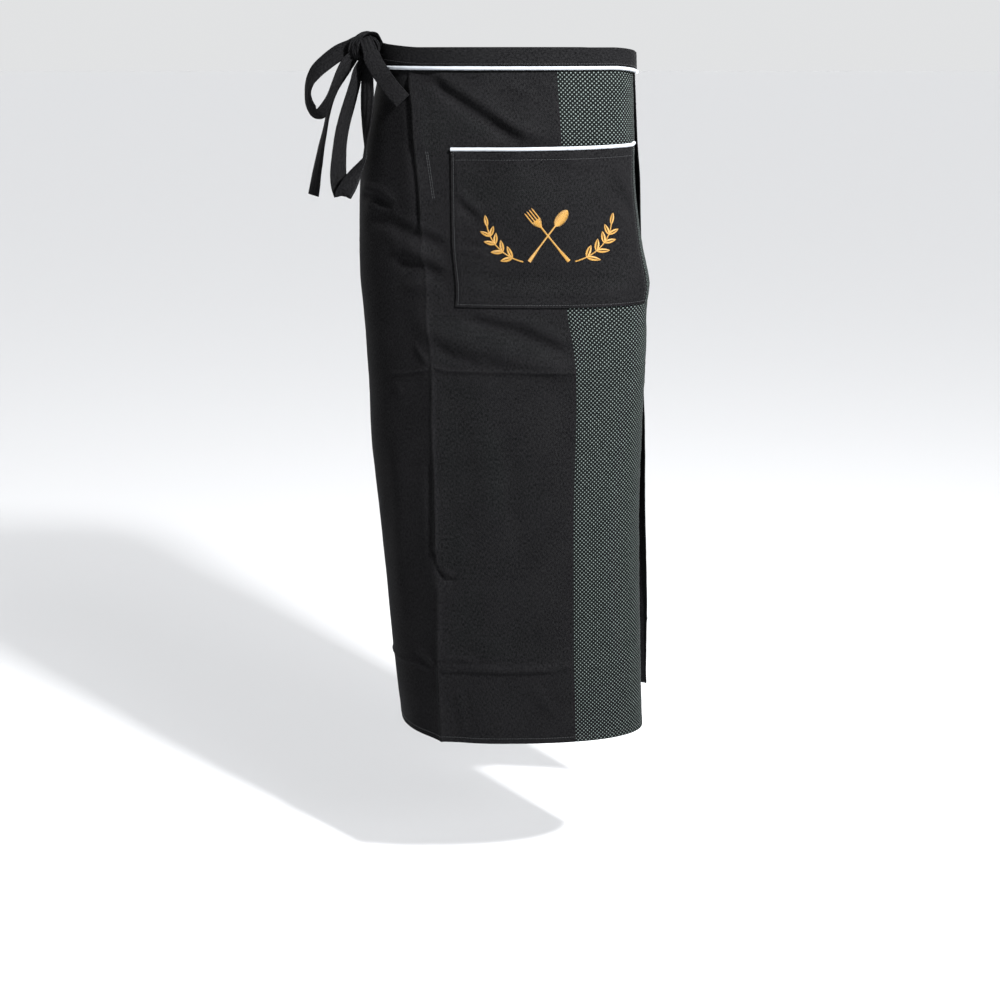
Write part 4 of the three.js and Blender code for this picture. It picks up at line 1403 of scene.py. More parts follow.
class Pocket:
    """The patch pocket: folded mouth with piping, turned-in edges, and a gape at the mouth."""

    hem_share = 0.08
    ramp = 0.30
    climb = 0.8
    mouth_hem = 10.5
    edge_stitch = 3.0
    step = 2.4
    # How far the cut leans off square: its left side at the corners, its right end at the mouth
    lean_across = 2.3
    lean_up = 2.5
    tip_rise = 1.8
    tip_length = 6.0
    crease_rows = (
        ("arc by the mouth, right", ((70, -128), (28, -150)), 7.0, 1.5, 0.3),
        ("arc by the mouth, left", ((120, -122), (70, -128)), 7.0, 1.0, 0.3),
        ("light ridge", ((60, -138), (24, -176)), 5.0, 2.0, 0.3),
        ("its shade", ((74, -142), (34, -186)), 6.0, -1.7, 0.3),
        ("lower ridge", ((84, -160), (40, -200)), 6.0, 1.4, 0.3),
        ("pull from the hip", ((251, -214), (216, -220)), 4.0, -1.4, 0.3, Profile.PRESSED),
        ("pull's ridge", ((251, -222), (206, -230)), 5.0, 1.4, 0.3),
        ("sunk across", ((236, -257), (50, -260)), 9.0, -1.5, 0.12),
        ("low ridge", ((240, -274), (44, -278)), 7.0, 0.9, 0.12),
        ("drag from the tuck", ((250, -152), (232, -166), (213, -182)), 6.0, 2.2, 0.25),
        ("its valley", ((252, -164), (234, -178), (216, -193)), 6.0, -2.1, 0.25),
        ("mouth's dent", ((180, -124), (120, -130)), 9.0, -1.0, 0.3),
    )

    def __init__(self, form: WornForm) -> None:
        """Keeps the form that the pocket is sewn to."""
        self.creases = [Crease(*row) for row in self.crease_rows]
        self.form = form
        self.sizes = form.sizes
        self.swell = ClothNoise(51)
        self.pucker = ClothNoise(53)

    def stand(self, distance: Array, z: Array) -> Array:
        """How far the pocket's inner face stands off the panel, as the solid's does."""
        sizes = self.sizes
        across = (distance - sizes.pocket_inset) / sizes.pocket_width
        rise = (z - sizes.pocket_bottom) / sizes.pocket_height
        from_side = smooth((across - self.hem_share) / self.ramp)
        to_side = smooth((1 - self.hem_share - across) / self.ramp)
        return sizes.gap + sizes.pocket_gape * from_side * to_side * smooth(
            (rise - self.hem_share) / self.climb)

    def relief(self, distance: Array, z: Array) -> Array:
        """Turned-in edges, stitches, puckers and soft creases, in millimetres."""
        sizes = self.sizes
        total = sum(crease.at(distance, z) for crease in self.creases)
        total = total + 0.55 * self.swell.at(distance, z, (46.0, 60.0))
        total = total + 0.18 * self.swell.at(distance + 300, z, (17.0, 21.0))
        edges = (distance - sizes.pocket_inset, sizes.pocket_end - distance, z - sizes.pocket_bottom)
        near = np.minimum(np.minimum(edges[0], edges[1]), edges[2])
        total = total * smooth(near / 16.0)
        along = np.where(edges[2] < np.minimum(edges[0], edges[1]), distance, z)
        total = total + 0.40 * (1 - smooth((near - 8.5) / 2.0))
        total = total - 0.40 * np.exp(-(((near - self.edge_stitch) / 1.1) ** 2))
        total = total + 0.30 * self.pucker.at(along, near, (8.0, 40.0)) * np.exp(-((near - 4) / 7.0) ** 2)
        under = sizes.pocket_top - z
        total = total + 0.45 * (1 - smooth((under - self.mouth_hem) / 1.6))
        return total - 0.40 * np.exp(-(((under - self.mouth_hem + 0.6) / 1.1) ** 2))

    def sewn(self, distance: Array, z: Array) -> tuple[Array, Array]:
        """Where a place of the square pocket lies on the wrap, as sewn a little off square."""
        sizes = self.sizes
        across = (distance - sizes.pocket_inset) / sizes.pocket_width
        rise = (z - sizes.pocket_bottom) / sizes.pocket_height
        lean = 2 * rise - 1
        return distance - self.lean_across * across * lean, z + self.lean_up * (1 - across) * lean

    def face(self, distance: Array, z: Array, offset: float = 0.0) -> Array:
        """Points on the pocket's outer face, in millimetres."""
        stand = self.stand(distance, z) + self.sizes.cloth + self.relief(distance, z) + offset
        return self.form.cloth(*self.sewn(distance, z), stand)

    def build(self, finishes: Finishes, piping: Piping) -> None:
        """Args:
            finishes: the materials.
            piping: what sweeps the cord.
        """
        sizes = self.sizes
        edge = np.array([0.0, 0.9, 2.0, 3.0, 4.0, 5.5, 7.2, 9.0, 11.0])
        distances = np.concatenate([
            sizes.pocket_inset + edge,
            evenly(sizes.pocket_inset + 13.0, sizes.pocket_end - 13.0, self.step),
            sizes.pocket_end - edge[::-1]])
        mouth = np.array([0.0, 1.5, 3.5, 6.0, 8.0, 9.0, 9.9, 10.8, 11.8, 13.0])
        heights = np.concatenate([
            sizes.pocket_top - mouth,
            evenly(sizes.pocket_top - 15.0, sizes.pocket_bottom + 13.0, self.step),
            sizes.pocket_bottom + edge[::-1]])
        d, z = np.meshgrid(distances, heights)
        outer = self.face(d, z)
        inner = self.face(d, z, -sizes.cloth)
        pocket = wall("pocket_cloth", outer, inner, np.stack([d, z], -1) * MM, finishes.black_twill)
        finish_piece(pocket, ["pocket"])
        radius = sizes.piping / 2
        height = sizes.pocket_top + sizes.gap + radius
        start = sizes.pocket_inset - sizes.piping_overhang
        cord = evenly(start, sizes.pocket_end, 2.0)
        top = np.full_like(cord, sizes.pocket_top)
        tip = self.tip_rise * smooth(1 - (cord - start) / self.tip_length)
        path = self.form.cloth(*self.sewn(cord, height + tip), self.stand(cord, top) + radius + sizes.gap)
        line = piping.sweep("pocket_piping_cord", path, sizes.piping, finishes.white_piping)
        finish_piece(line, ["pocket_piping"])

    def stitch_paths(self) -> list[ThreadPath]:
        """Rows at the pocket's edges and under its mouth."""
        sizes, inset = self.sizes, self.edge_stitch
        left, right = sizes.pocket_end - inset, sizes.pocket_inset + inset
        low, top = sizes.pocket_bottom + inset, sizes.pocket_top
        mouth = top - self.mouth_hem + 0.6
        side = evenly(top - 1.0, low, 2.0)
        across = evenly(right, left, 2.0)
        rows = [
            (np.full_like(side, left), side), (np.full_like(side, right), side),
            (across, np.full_like(across, low)), (across, np.full_like(across, mouth)),
        ]
        return [
            ThreadPath.running(self.face(d, z, 0.12), self.form.outs(d, z), 2.6) for d, z in rows
        ]


# The embroidery: crossed fork and spoon between two leaf sprigs


class Embroidery:
    """A satin-stitched kitchen motif on the pocket, drawn flat and laid onto its face."""

    middle = (138.0, -206.0)
    size = 1.2
    lift = 0.35
    thread = 0.55

    def __init__(self, form: WornForm, pocket: Pocket) -> None:
        """Keeps the pocket that carries the motif."""
        self.form = form
        self.pocket = pocket

    def on_pocket(self, drawing: Array) -> Array:
        """Puts flat places of the drawing, right and up, onto the pocket's face."""
        right, up = (self.size * drawing[..., axis] for axis in range(2))
        return self.pocket.face(self.middle[0] - right, self.middle[1] + up, self.lift)

    def satin(self, line: Array, reach: Array, slant: float = 0.0) -> ThreadPath:
        """A satin column: threads laid across a line.

        Args:
            line: the line, right and up in millimetres.
            reach: length of the thread at each point.
            slant: lean of the threads along the line.

        Returns:
            The path of threads.
        """
        points = self.on_pocket(line)
        run = unit(np.gradient(line, axis=0))
        across = unit(np.stack([-run[:, 1], run[:, 0]], -1) + slant * run)
        ends = self.on_pocket(line + across * 0.5) - self.on_pocket(line - across * 0.5)
        outs = self.form.outs(self.middle[0] - line[:, 0], self.middle[1] + line[:, 1])
        return ThreadPath(points, outs, unit(ends), reach * self.size)

    def leaf(self, root: Array, angle: float, length: float, width: float) -> list[ThreadPath]:
        """A leaf in two halves, each of slanted threads, with a groove between them.

        Args:
            root: where it leaves the stem.
            angle: its direction, in degrees.
            length: its length.
            width: its width.

        Returns:
            Its two satin columns.
        """
        turn = math.radians(angle)
        run = np.array([math.cos(turn), math.sin(turn)])
        side = np.array([-run[1], run[0]])
        share = np.linspace(0.0, 1.0, 24)
        half = width / 2 * np.sin(math.pi * share ** 0.8) ** 0.8
        spine = root + run * length * share[:, None]
        return [
            self.satin(spine + side * sign * half[:, None] / 2, half * 1.05 + 0.25, sign * 0.8)
            for sign in (1.0, -1.0)
        ]

    def sprig(self, sign: float) -> list[ThreadPath]:
        """A curved stem with leaves on both sides and one at its tip.

        Args:
            sign: 1 for the right sprig, -1 for the left one.

        Returns:
            Its satin columns.
        """
        share = np.linspace(0.0, 1.0, 40)
        bend = math.radians(15) + share * math.radians(67)
        stem = np.stack([sign * (14 + 46 * np.sin(bend)), -27 + 42 * (1 - np.cos(bend))], -1)
        paths = [self.satin(stem, np.full(len(share), 1.6))]
        for place, side in ((0.22, 1), (0.22, -1), (0.42, 1), (0.42, -1), (0.62, 1), (0.62, -1),
                            (0.82, 1), (0.82, -1)):
            index = int(place * (len(share) - 1))
            run = stem[index + 1] - stem[index]
            angle = math.degrees(math.atan2(run[1], run[0])) + side * 42
            paths += self.leaf(stem[index], angle, 13.0 - 3.0 * place, 5.4 - place)
        run = stem[-1] - stem[-2]
        paths += self.leaf(stem[-1], math.degrees(math.atan2(run[1], run[0])), 11.0, 4.6)
        return paths

    def cutlery(self) -> list[ThreadPath]:
        """A fork and a spoon that cross in the middle."""
        paths = []
        for lean in (1.0, -1.0):
            turn = math.radians(90 - lean * 38)
            run = np.array([math.cos(turn), math.sin(turn)])
            side = np.array([-run[1], run[0]])

            def line(start: float, end: float, aside: float = 0.0) -> Array:
                """A straight stretch along the handle's direction."""
                share = np.linspace(start, end, 30)[:, None]
                return run * share + side * aside

            share = np.linspace(0.0, 1.0, 30)
            handle = 1.9 + 2.3 * smooth((0.45 - share) / 0.45)
            if lean > 0:
                paths.append(self.satin(line(-32.0, 13.0), handle))
                bowl = 11.5 * np.sqrt(np.clip(1 - (2 * share - 1) ** 2, 0.02, 1.0))
                paths.append(self.satin(line(12.0, 31.0), bowl))
            else:
                paths.append(self.satin(line(-32.0, 12.0), handle))
                paths.append(self.satin(line(11.0, 19.0), 3.0 + 7.6 * np.sin(share * math.pi / 2)))
                for aside in (-4.2, -1.4, 1.4, 4.2):
                    tine = np.where(share < 0.85, 1.5, 1.5 - 0.9 * (share - 0.85) / 0.15)
                    paths.append(self.satin(line(18.6, 31.0, aside), tine))
        return paths

    def paths(self) -> list[ThreadPath]:
        """Every satin column of the motif."""
        return self.sprig(-1.0) + self.sprig(1.0) + self.cutlery()


# Ties and bow


@dataclass
class Tape:
    """A tape through stations: middle line, direction across it, direction out of it."""

    middle: Array
    across: Array
    out: Array
    width: Array
    cup: Array
    pleat: Array

    face_steps = 16
    thickness = SIZES.tie

    def ring_shape(self) -> tuple[Array, Array]:
        """Shares across the width and through the thickness, once round the tape.

        Returns:
            Shares from -1 to 1 across, and from -1 to 1 through.
        """
        across = np.linspace(-1.0, 1.0, self.face_steps + 1)
        across = np.sign(across) * (1 - (1 - np.abs(across)) ** 1.25)
        round_off = np.clip((1 - np.abs(across)) / 0.06, 0.0, 1.0) ** 0.5
        upper = np.stack([across, 0.35 + 0.65 * round_off], -1)
        lower = np.stack([across[::-1], -(0.35 + 0.65 * round_off[::-1])], -1)
        ring = np.concatenate([upper, lower])
        return ring[:, 0], ring[:, 1]

    def offset(self, share: Array, station: Array) -> Array:
        """How far the tape's middle sheet stands out of flat: its cup and its pleats.

        Args:
            share: places across, from -1 to 1.
            station: numbers of the stations.

        Returns:
            Offsets in millimetres.
        """
        cup = self.cup[station][:, None] * (share[None, :] ** 2 - 0.33)
        pleat = self.pleat[station][:, None] * np.cos(3.1 * math.pi * share[None, :] + 0.7)
        return cup + pleat

    def rings(self) -> tuple[Array, Array]:
        """Points and cloth coordinates, ring by ring."""
        share, through = self.ring_shape()
        station = np.arange(len(self.middle))
        stitched = -0.22 * np.exp(-(((1 - np.abs(share)) * SIZES.tie_width / 2 - 2.2) / 0.9) ** 2)
        half = self.thickness / 2 + stitched
        lift = self.offset(share, station) + (half * through)[None, :]
        points = (self.middle[:, None] + self.across[:, None] * (
            share[None, :, None] * self.width[:, None, None] / 2) + self.out[:, None] * lift[..., None])
        along = np.concatenate([[0.0], np.cumsum(np.linalg.norm(np.diff(self.middle, axis=0), axis=1))])
        uv = np.stack(np.broadcast_arrays(share[None, :] * SIZES.tie_width / 2, along[:, None]), -1)
        return points, uv * MM

    @property
    def length(self) -> float:
        """Length of the middle line, in millimetres."""
        return float(np.linalg.norm(np.diff(self.middle, axis=0), axis=1).sum())

    def edge_path(self, side: float, start: int, end: int) -> ThreadPath:
        """A row of stitches near one edge, on the outer face.

        Args:
            side: 1 or -1, the edge.
            start: first station.
            end: last station.

        Returns:
            The row.
        """
        share = np.array([side * (1 - 2.2 / (SIZES.tie_width / 2))])
        station = np.arange(start, end)
        lift = self.offset(share, station)[:, 0] + self.thickness / 2 - 0.05
        points = (self.middle[station] + self.across[station] * (
            share[0] * self.width[station] / 2)[:, None] + self.out[station] * lift[:, None])
        return ThreadPath.running(points, self.out[station], 2.4)


@dataclass(frozen=True)
class Strand:
    """A strand of the bow: its route in shares of the bow's reach, drop and the tie's width."""

    name: str
    node: str
    rows: tuple[tuple[float, float, float, float], ...]
    start_width: float = 0.62
    end_width: float = 1.0
    cup: float = 1.6
    pleat: float = 1.5


# Rows: across, down, front and turn, close to the part's routes
SHORT_LOOP = Strand("short_loop_tape", "short_loop", (
    (0.000, 0.000, 0.00, 10), (0.150, -0.020, 0.10, 12), (0.294, 0.010, 0.00, 15),
    (0.463, 0.049, 0.00, 20), (0.632, 0.101, 0.00, 24), (0.804, 0.167, -0.02, 34),
    (0.908, 0.239, -0.06, 56), (0.944, 0.312, -0.08, 66), (0.922, 0.384, 0.00, 56),
    (0.845, 0.436, 0.12, 44), (0.751, 0.444, 0.28, 46), (0.662, 0.396, 0.40, 62),
    (0.581, 0.333, 0.45, 72), (0.501, 0.264, 0.45, 64), (0.422, 0.199, 0.44, 52),
    (0.345, 0.140, 0.40, 44), (0.261, 0.081, 0.30, 40), (0.000, 0.000, 0.00, 36),
), 0.75, 0.6, 1.8)
HANGING_TAIL = Strand("hanging_tail_tape", "hanging_tail", (
    (0.02, 0.030, -0.30, 10), (0.25, 0.070, -0.78, 25), (0.408, 0.161, -1.00, 50),
    (0.523, 0.266, -1.05, 66), (0.613, 0.372, -1.00, 74), (0.677, 0.478, -0.85, 75),
    (0.719, 0.571, -0.75, 72), (0.768, 0.664, -0.65, 66), (0.811, 0.758, -0.60, 60),
    (0.854, 0.852, -0.55, 54), (0.889, 0.946, -0.50, 48), (0.912, 1.000, -0.50, 46),
), 0.6, 1.0, 1.4)
LONG_LOOP = Strand("long_loop_tape", "long_loop", (
    (0.000, 0.000, 0.00, -50), (0.096, 0.095, 0.25, -62), (0.148, 0.159, 0.45, -62),
    (0.185, 0.231, 0.62, -58), (0.232, 0.302, 0.72, -54), (0.287, 0.381, 0.80, -50),
    (0.351, 0.473, 0.86, -48), (0.405, 0.565, 0.90, -46), (0.444, 0.658, 0.90, -44),
    (0.467, 0.751, 0.90, -36), (0.480, 0.844, 0.90, -24), (0.466, 0.925, 0.90, -14),
    (0.430, 0.975, 0.95, -8), (0.415, 0.989, 1.10, -6), (0.384, 0.966, 1.25, -8),
    (0.334, 0.931, 1.30, -14), (0.254, 0.867, 1.34, -34), (0.167, 0.804, 1.38, -60),
    (0.095, 0.753, 1.42, -78), (0.055, 0.715, 1.47, -88), (0.045, 0.632, 1.52, -102),
    (0.030, 0.533, 1.52, -122), (0.018, 0.429, 1.46, -136), (0.010, 0.328, 1.30, -142),
    (0.010, 0.235, 1.05, -136), (0.005, 0.140, 0.70, -128), (0.000, 0.000, 0.00, -120),
), 0.6, 0.6, 1.2)
FRONT_TAIL = Strand("front_tail_tape", "front_tail", (
    (0.070, -0.020, 0.00, 0), (0.055, -0.048, 0.30, 0), (0.026, -0.040, 0.68, 0),
    (-0.024, 0.010, 1.02, 0),
    (-0.100, 0.100, 1.35, 0), (-0.222, 0.184, 1.60, 0), (-0.359, 0.262, 1.85, 0),
    (-0.550, 0.352, 2.10, 0),
), 0.72, 1.0, 0.5, 0.45)


class Bow:
    """Both ties, and the knot and bow at the left hip that they make."""

    row_steps = 12
    climb_start = 0.75
    tie_gaps = 1.5
    turn_share = 0.52
    knot_radii = (17.0, 14.0, 15.5)

    def __init__(self, form: WornForm) -> None:
        """Finds where the knot sits on the band."""
        self.form = form
        self.sizes = form.sizes
        sizes = self.sizes
        seat = np.array([sizes.knot_distance])
        offset = sizes.band_outer + sizes.gap + sizes.knot_out / 2
        self.knot = form.cloth(seat, np.array([0.0]), offset)[0]
        self.knot[2] = sizes.knot_rise
        self.knot_out = form.outs(seat, np.array([0.0]))[0]
        self.wave = ClothNoise(61)
        self.tapes: list[Tape] = []

    def band_stations(self, distance: Array, offset: Array | float,
                      lift: Array | float) -> tuple[Array, Array, Array]:
        """Stations of a tie that lies flat along the band.

        Args:
            distance: distances from the front free edge.
            offset: offset of the tape's middle sheet out of the cloth's face.
            lift: height of its middle line.

        Returns:
            Middle points, directions across and directions out.
        """
        d = np.clip(distance, 0.0, self.form.width)
        half = self.sizes.tie_width / 2
        low = self.form.cloth(d, lift - half, offset)
        high = self.form.cloth(d, lift + half, offset)
        across = unit(high - low)
        out = self.form.outs(d, np.broadcast_to(lift, d.shape))
        return (low + high) / 2, across, unit(out - across * (out * across).sum(-1, keepdims=True))

    def bridge(self, parts: Sequence[tuple[Array, Array, Array]], step: float) -> tuple[Array, ...]:
        """Joins stretches of stations with smooth spans, evenly spaced.

        Args:
            parts: stretches of middle, across and out.
            step: distance between stations.

        Returns:
            Middle, across and out of the whole tie.
        """
        joined = [np.concatenate([part[k] for part in parts]) for k in range(3)]
        along = np.concatenate([[0.0], np.cumsum(np.linalg.norm(np.diff(joined[0], axis=0), axis=1))])
        even = evenly(0.0, float(along[-1]), step)
        return tuple(
            np.stack([np.interp(even, along, values[:, axis]) for axis in range(3)], -1)
            for values in joined
        )

    def add_tape(self, name: str, tape: Tape, material: bpy.types.Material,
                 nodes: Sequence[str]) -> bpy.types.Object:
        """Args:
            name: the object's name.
            tape: its stations.
            material: its finish.
            nodes: the solids that it replaces.

        Returns:
            The piece.
        """
        points, uv = tape.rings()
        piece = finish_piece(sweep(name, points, uv, material), nodes)
        self.tapes.append(tape)
        return piece

    def front_tie(self) -> Tape:
        """From the back band's end, across the slit and along the front band to the knot."""
        sizes, width = self.sizes, self.form.width
        offset = sizes.band_outer + self.tie_gaps * sizes.gap + sizes.tie / 2 + 0.35
        root = evenly(width - sizes.tie_root, width, 3.0)
        run = evenly(0.0, sizes.knot_distance - 2.0, 3.0)
        climb = (run / sizes.knot_distance - self.climb_start) / (1 - self.climb_start)
        rise = sizes.tie_rise * smooth(climb)
        parts = [
            self.band_stations(root, offset, np.full_like(root, sizes.tie_lift)),
            self.band_stations(run, offset, sizes.tie_lift + rise),
        ]
        middle, across, out = self.bridge(parts, 2.0)
        out = unit(out - across * (out * across).sum(-1, keepdims=True))
        count = len(middle)
        left = np.linspace(1.0, 0.0, count) * np.linalg.norm(np.diff(middle, axis=0), axis=1).sum()
        wave = self.wave.at(np.arange(count) * 2.0, np.zeros(count), (34.0, 10.0))
        width_here = sizes.tie_width * (0.82 + 0.18 * smooth((left - 2.0) / 12.0))
        pleat = 1.0 * (1 - smooth((left - 2.0) / 24.0)) + 0.10 * wave
        return Tape(middle, across, out, width_here, 0.25 * wave, pleat)

    def back_tie(self) -> Tape:
        """From inside the front band's end, round inside the back, over the band and to the knot."""
        sizes, form = self.sizes, self.form
        offset = sizes.band_outer - sizes.band - self.tie_gaps * sizes.gap - sizes.tie / 2
        start = self.turn_share * form.width
        root = evenly(sizes.tie_root, 0.0, 3.0)
        run = evenly(form.width, start, 4.0)
        parts = [self.band_stations(d, offset, np.full_like(d, -sizes.tie_lift)) for d in (root, run)]
        turn_steps, lean_steps, reach_steps = 7, 5, 4
        index = np.linspace(0.0, turn_steps, 40)[1:]
        distance = start + (sizes.knot_distance + sizes.tie_width - start) * index / turn_steps
        lean = smooth(index / lean_steps)
        reach = smooth((index - turn_steps + reach_steps) / reach_steps)
        middle, across, out = self.band_stations(
            distance, offset - sizes.band / 2, np.full_like(distance, -sizes.tie_lift))
        half = sizes.tie_width / 2
        shift = reach * (half + sizes.band) - lean * (1 - reach) * half
        middle = middle + out * shift[:, None]
        middle[:, 2] += lean * (sizes.band_top + sizes.tie_lift + sizes.tie + sizes.gap)
        middle[:, 2] += reach * sizes.tie_rise
        angle = (lean * math.pi / 2)[:, None]
        turned = across * np.cos(angle) + out * np.sin(angle)
        parts.append((middle, turned, out * np.cos(angle) - across * np.sin(angle)))
        parts.append((self.knot[None], parts[-1][1][-1:], parts[-1][2][-1:]))
        middle, across, out = self.bridge(parts, 3.0)
        across = unit(across)
        out = unit(out - across * (out * across).sum(-1, keepdims=True))
        count = len(middle)
        left = np.linspace(1.0, 0.0, count) * np.linalg.norm(np.diff(middle, axis=0), axis=1).sum()
        width_here = sizes.tie_width * (0.3 + 0.7 * smooth((left - 26.0) / 40.0))
        return Tape(middle, across, out, width_here, np.zeros(count), 1.0 - smooth((left - 12) / 30.0))

    def curve(self, places: Array) -> Array:
        """Points of a centripetal Catmull-Rom curve, row_steps to a row.

        Args:
            places: the route's points.

        Returns:
            Points along the curve, ends included.
        """
        ends = (2 * places[0] - places[1], 2 * places[-1] - places[-2])
        knots = np.concatenate([ends[0][None], places, ends[1][None]])
        result = []
        for index in range(len(places) - 1):
            p0, p1, p2, p3 = knots[index:index + 4]
            d0, d1, d2 = (max(np.linalg.norm(b - a) ** 0.5, 1e-3) for a, b in ((p0, p1), (p1, p2), (p2, p3)))
            start = ((p1 - p0) / d0 - (p2 - p0) / (d0 + d1) + (p2 - p1) / d1) * d1
            end = ((p2 - p1) / d1 - (p3 - p1) / (d1 + d2) + (p3 - p2) / d2) * d1
            t = (np.arange(self.row_steps) / self.row_steps)[:, None]
            result.append(p1 + start * t + (3 * (p2 - p1) - 2 * start - end) * t ** 2
                          + (2 * (p1 - p2) + start + end) * t ** 3)
        return np.concatenate(result + [places[-1:]])

    def front_face(self, x: Array, z: Array) -> Array:
        """How far back a strand may reach before it meets the cloth and its piping.

        Args:
            x: sideways places.
            z: heights.

        Returns:
            The furthest y, in millimetres.
        """
        sizes, form = self.sizes, self.form
        room = sizes.piping + 2 * sizes.gap
        limits = np.empty_like(x)
        for place, (px, pz) in enumerate(zip(x.ravel(), z.ravel())):
            down = min(1.0, max(0.0, (sizes.band_top - pz) / sizes.length))
            reach = form.value(down, "left" if px < 0 else "edge") + room
            share = min(1.0, abs(px) / reach)
            power = form.squareness
            limits.ravel()[place] = -(form.value(down, "front") + room) * (1 - share ** power) ** (1 / power)
        return limits

    def strand_across(self, tangents: Array, turns: Array, count: int) -> Array:
        """Directions across a strand, from its rows' turns, without a jump where it folds back.

        Args:
            tangents: the strand's direction at each row.
            turns: how far the tape is turned out of the view there, in radians.
            count: number of stations.

        Returns:
            A direction for each station.
        """
        flat = np.stack([tangents[:, 2], np.zeros(len(turns)), -tangents[:, 0]], -1)
        clear = np.linalg.norm(flat, axis=1) > 0.75
        flat = unit(flat)
        kept = np.flatnonzero(clear)
        for before, here in zip(kept, kept[1:]):
            if flat[here] @ flat[before] < 0:
                flat[here] = -flat[here]
        across = flat * np.cos(turns)[:, None] + np.array([0.0, 1.0, 0.0]) * np.sin(turns)[:, None]
        station = np.arange(count) / self.row_steps
        spread = np.stack([np.interp(station, kept, across[kept, axis]) for axis in range(3)], -1)
        kernel = np.ones(9) / 9
        return np.stack([
            np.convolve(np.pad(spread[:, axis], 4, mode="edge"), kernel, mode="valid")
            for axis in range(3)], -1)

    def strand(self, strand: Strand) -> Tape:
        """Tape of one strand of the bow.

        Args:
            strand: its route and widths.

        Returns:
            The tape.
        """
        sizes = self.sizes
        rows = np.array(strand.rows)
        places = self.knot - np.stack([
            rows[:, 0] * sizes.bow_reach, rows[:, 2] * sizes.tie_width, rows[:, 1] * sizes.bow_drop], -1)
        middle = self.curve(places)
        count = len(middle)
        tangent = unit(np.gradient(middle, axis=0))
        across = self.strand_across(tangent[::self.row_steps], np.radians(rows[:, 3]), count)
        across = unit(across - tangent * (across * tangent).sum(-1, keepdims=True))
        out = unit(np.cross(tangent, across))
        reach = sizes.tie_width / 2 + sizes.tie / 2
        excess = np.zeros(count)
        for side in (-reach, 0.0, reach):
            edge = middle + across * side
            excess = np.maximum(excess, edge[:, 1] + sizes.tie / 2 - self.front_face(edge[:, 0], edge[:, 2]))
        excess = np.convolve(np.pad(np.maximum(excess, 0), 6, mode="edge"), np.ones(13) / 13, mode="valid")
        middle = middle - np.stack([np.zeros(count), excess, np.zeros(count)], -1)
        away = np.linalg.norm(middle - self.knot, axis=1)
        near = 1 - smooth((away - 14.0) / 26.0)
        first = np.arange(count) < count / 2
        narrow = np.where(first, strand.start_width, strand.end_width)
        width = sizes.tie_width * (1 - near * (1 - narrow))
        wave = self.wave.at(np.arange(count) * 1.0, np.full(count, rows[1, 0] * 900), (26.0, 10.0))
        cup = strand.cup * (0.7 + 0.6 * wave) * (1 - near)
        creased = self.wave.at(np.arange(count) * 1.0, np.full(count, rows[2, 1] * 700 + 40), (60.0, 10.0))
        pleat = near * np.where(narrow < 1, 1, 0) + (1 - near) * (0.16 + 0.12 * creased)
        return Tape(middle, across, out, width, cup, strand.pleat * pleat)

    def knot_place(self, right: float, up: float, front: float) -> Array:
        """A place on the knot, seen from the front, in millimetres from its middle."""
        return self.knot + np.array([right, -front, up])

    def lump(self) -> tuple[Array, Array]:
        """The knot's gathered core.

        Returns:
            Rings of points and their cloth coordinates.
        """
        side = unit(np.array([-self.knot_out[1], self.knot_out[0], 0.0]))
        axes = np.stack([side, self.knot_out, np.array([0.0, 0.0, 1.0])])
        rows, columns = 72, 108
        polar = np.linspace(0.02, math.pi - 0.02, rows)
        turn = np.linspace(0.0, 2 * math.pi, columns, endpoint=False)
        p, t = np.meshgrid(polar, turn, indexing="ij")
        # The poles lie along the band, so that the gathers wrap over the knot's top
        ball = np.stack([np.cos(p), np.sin(p) * np.cos(t), np.sin(p) * np.sin(t)], -1)
        gathers = 0.075 * np.cos(8 * p + 1.6 * np.sin(t)) + 0.045 * np.cos(15 * p + 2.2 * np.cos(t + 0.6))
        grow = 0.90 + gathers * np.sin(p) + 0.05 * self.wave.at(p * 9, t * 9, (5.0, 7.0))
        points = self.knot + (ball * grow[..., None] * np.array(self.knot_radii)) @ axes
        return points, np.stack([p * 15.0, t * 15.0], -1) * MM

    def knot_tape(self, route: Sequence[tuple[float, ...]], width: float) -> tuple[Array, Array]:
        """A short tape of the knot.

        Args:
            route: rows of right, up and front, then the direction across, right, up and front.
            width: the tape's width where it is not gathered.

        Returns:
            Rings of points and their cloth coordinates.
        """
        rows = np.array(route)
        middle = self.curve(np.array([self.knot_place(*row[:3]) for row in rows]))
        count = len(middle)
        tangent = unit(np.gradient(middle, axis=0))
        station = np.arange(count) / self.row_steps
        given = np.stack([np.interp(station, np.arange(len(rows)), rows[:, 3 + axis] * sign)
                          for axis, sign in ((0, 1.0), (2, -1.0), (1, 1.0))], -1)
        across = unit(given - tangent * (given * tangent).sum(-1, keepdims=True))
        ends = np.minimum(station, station[-1] - station)
        tape = Tape(middle, across, unit(np.cross(tangent, across)),
                    width * (0.7 + 0.3 * smooth(ends / 1.5)), np.full(count, -0.8),
                    0.5 + 0.4 * self.wave.at(station * 7.0, np.zeros(count), (5.0, 10.0)))
        return tape.rings()

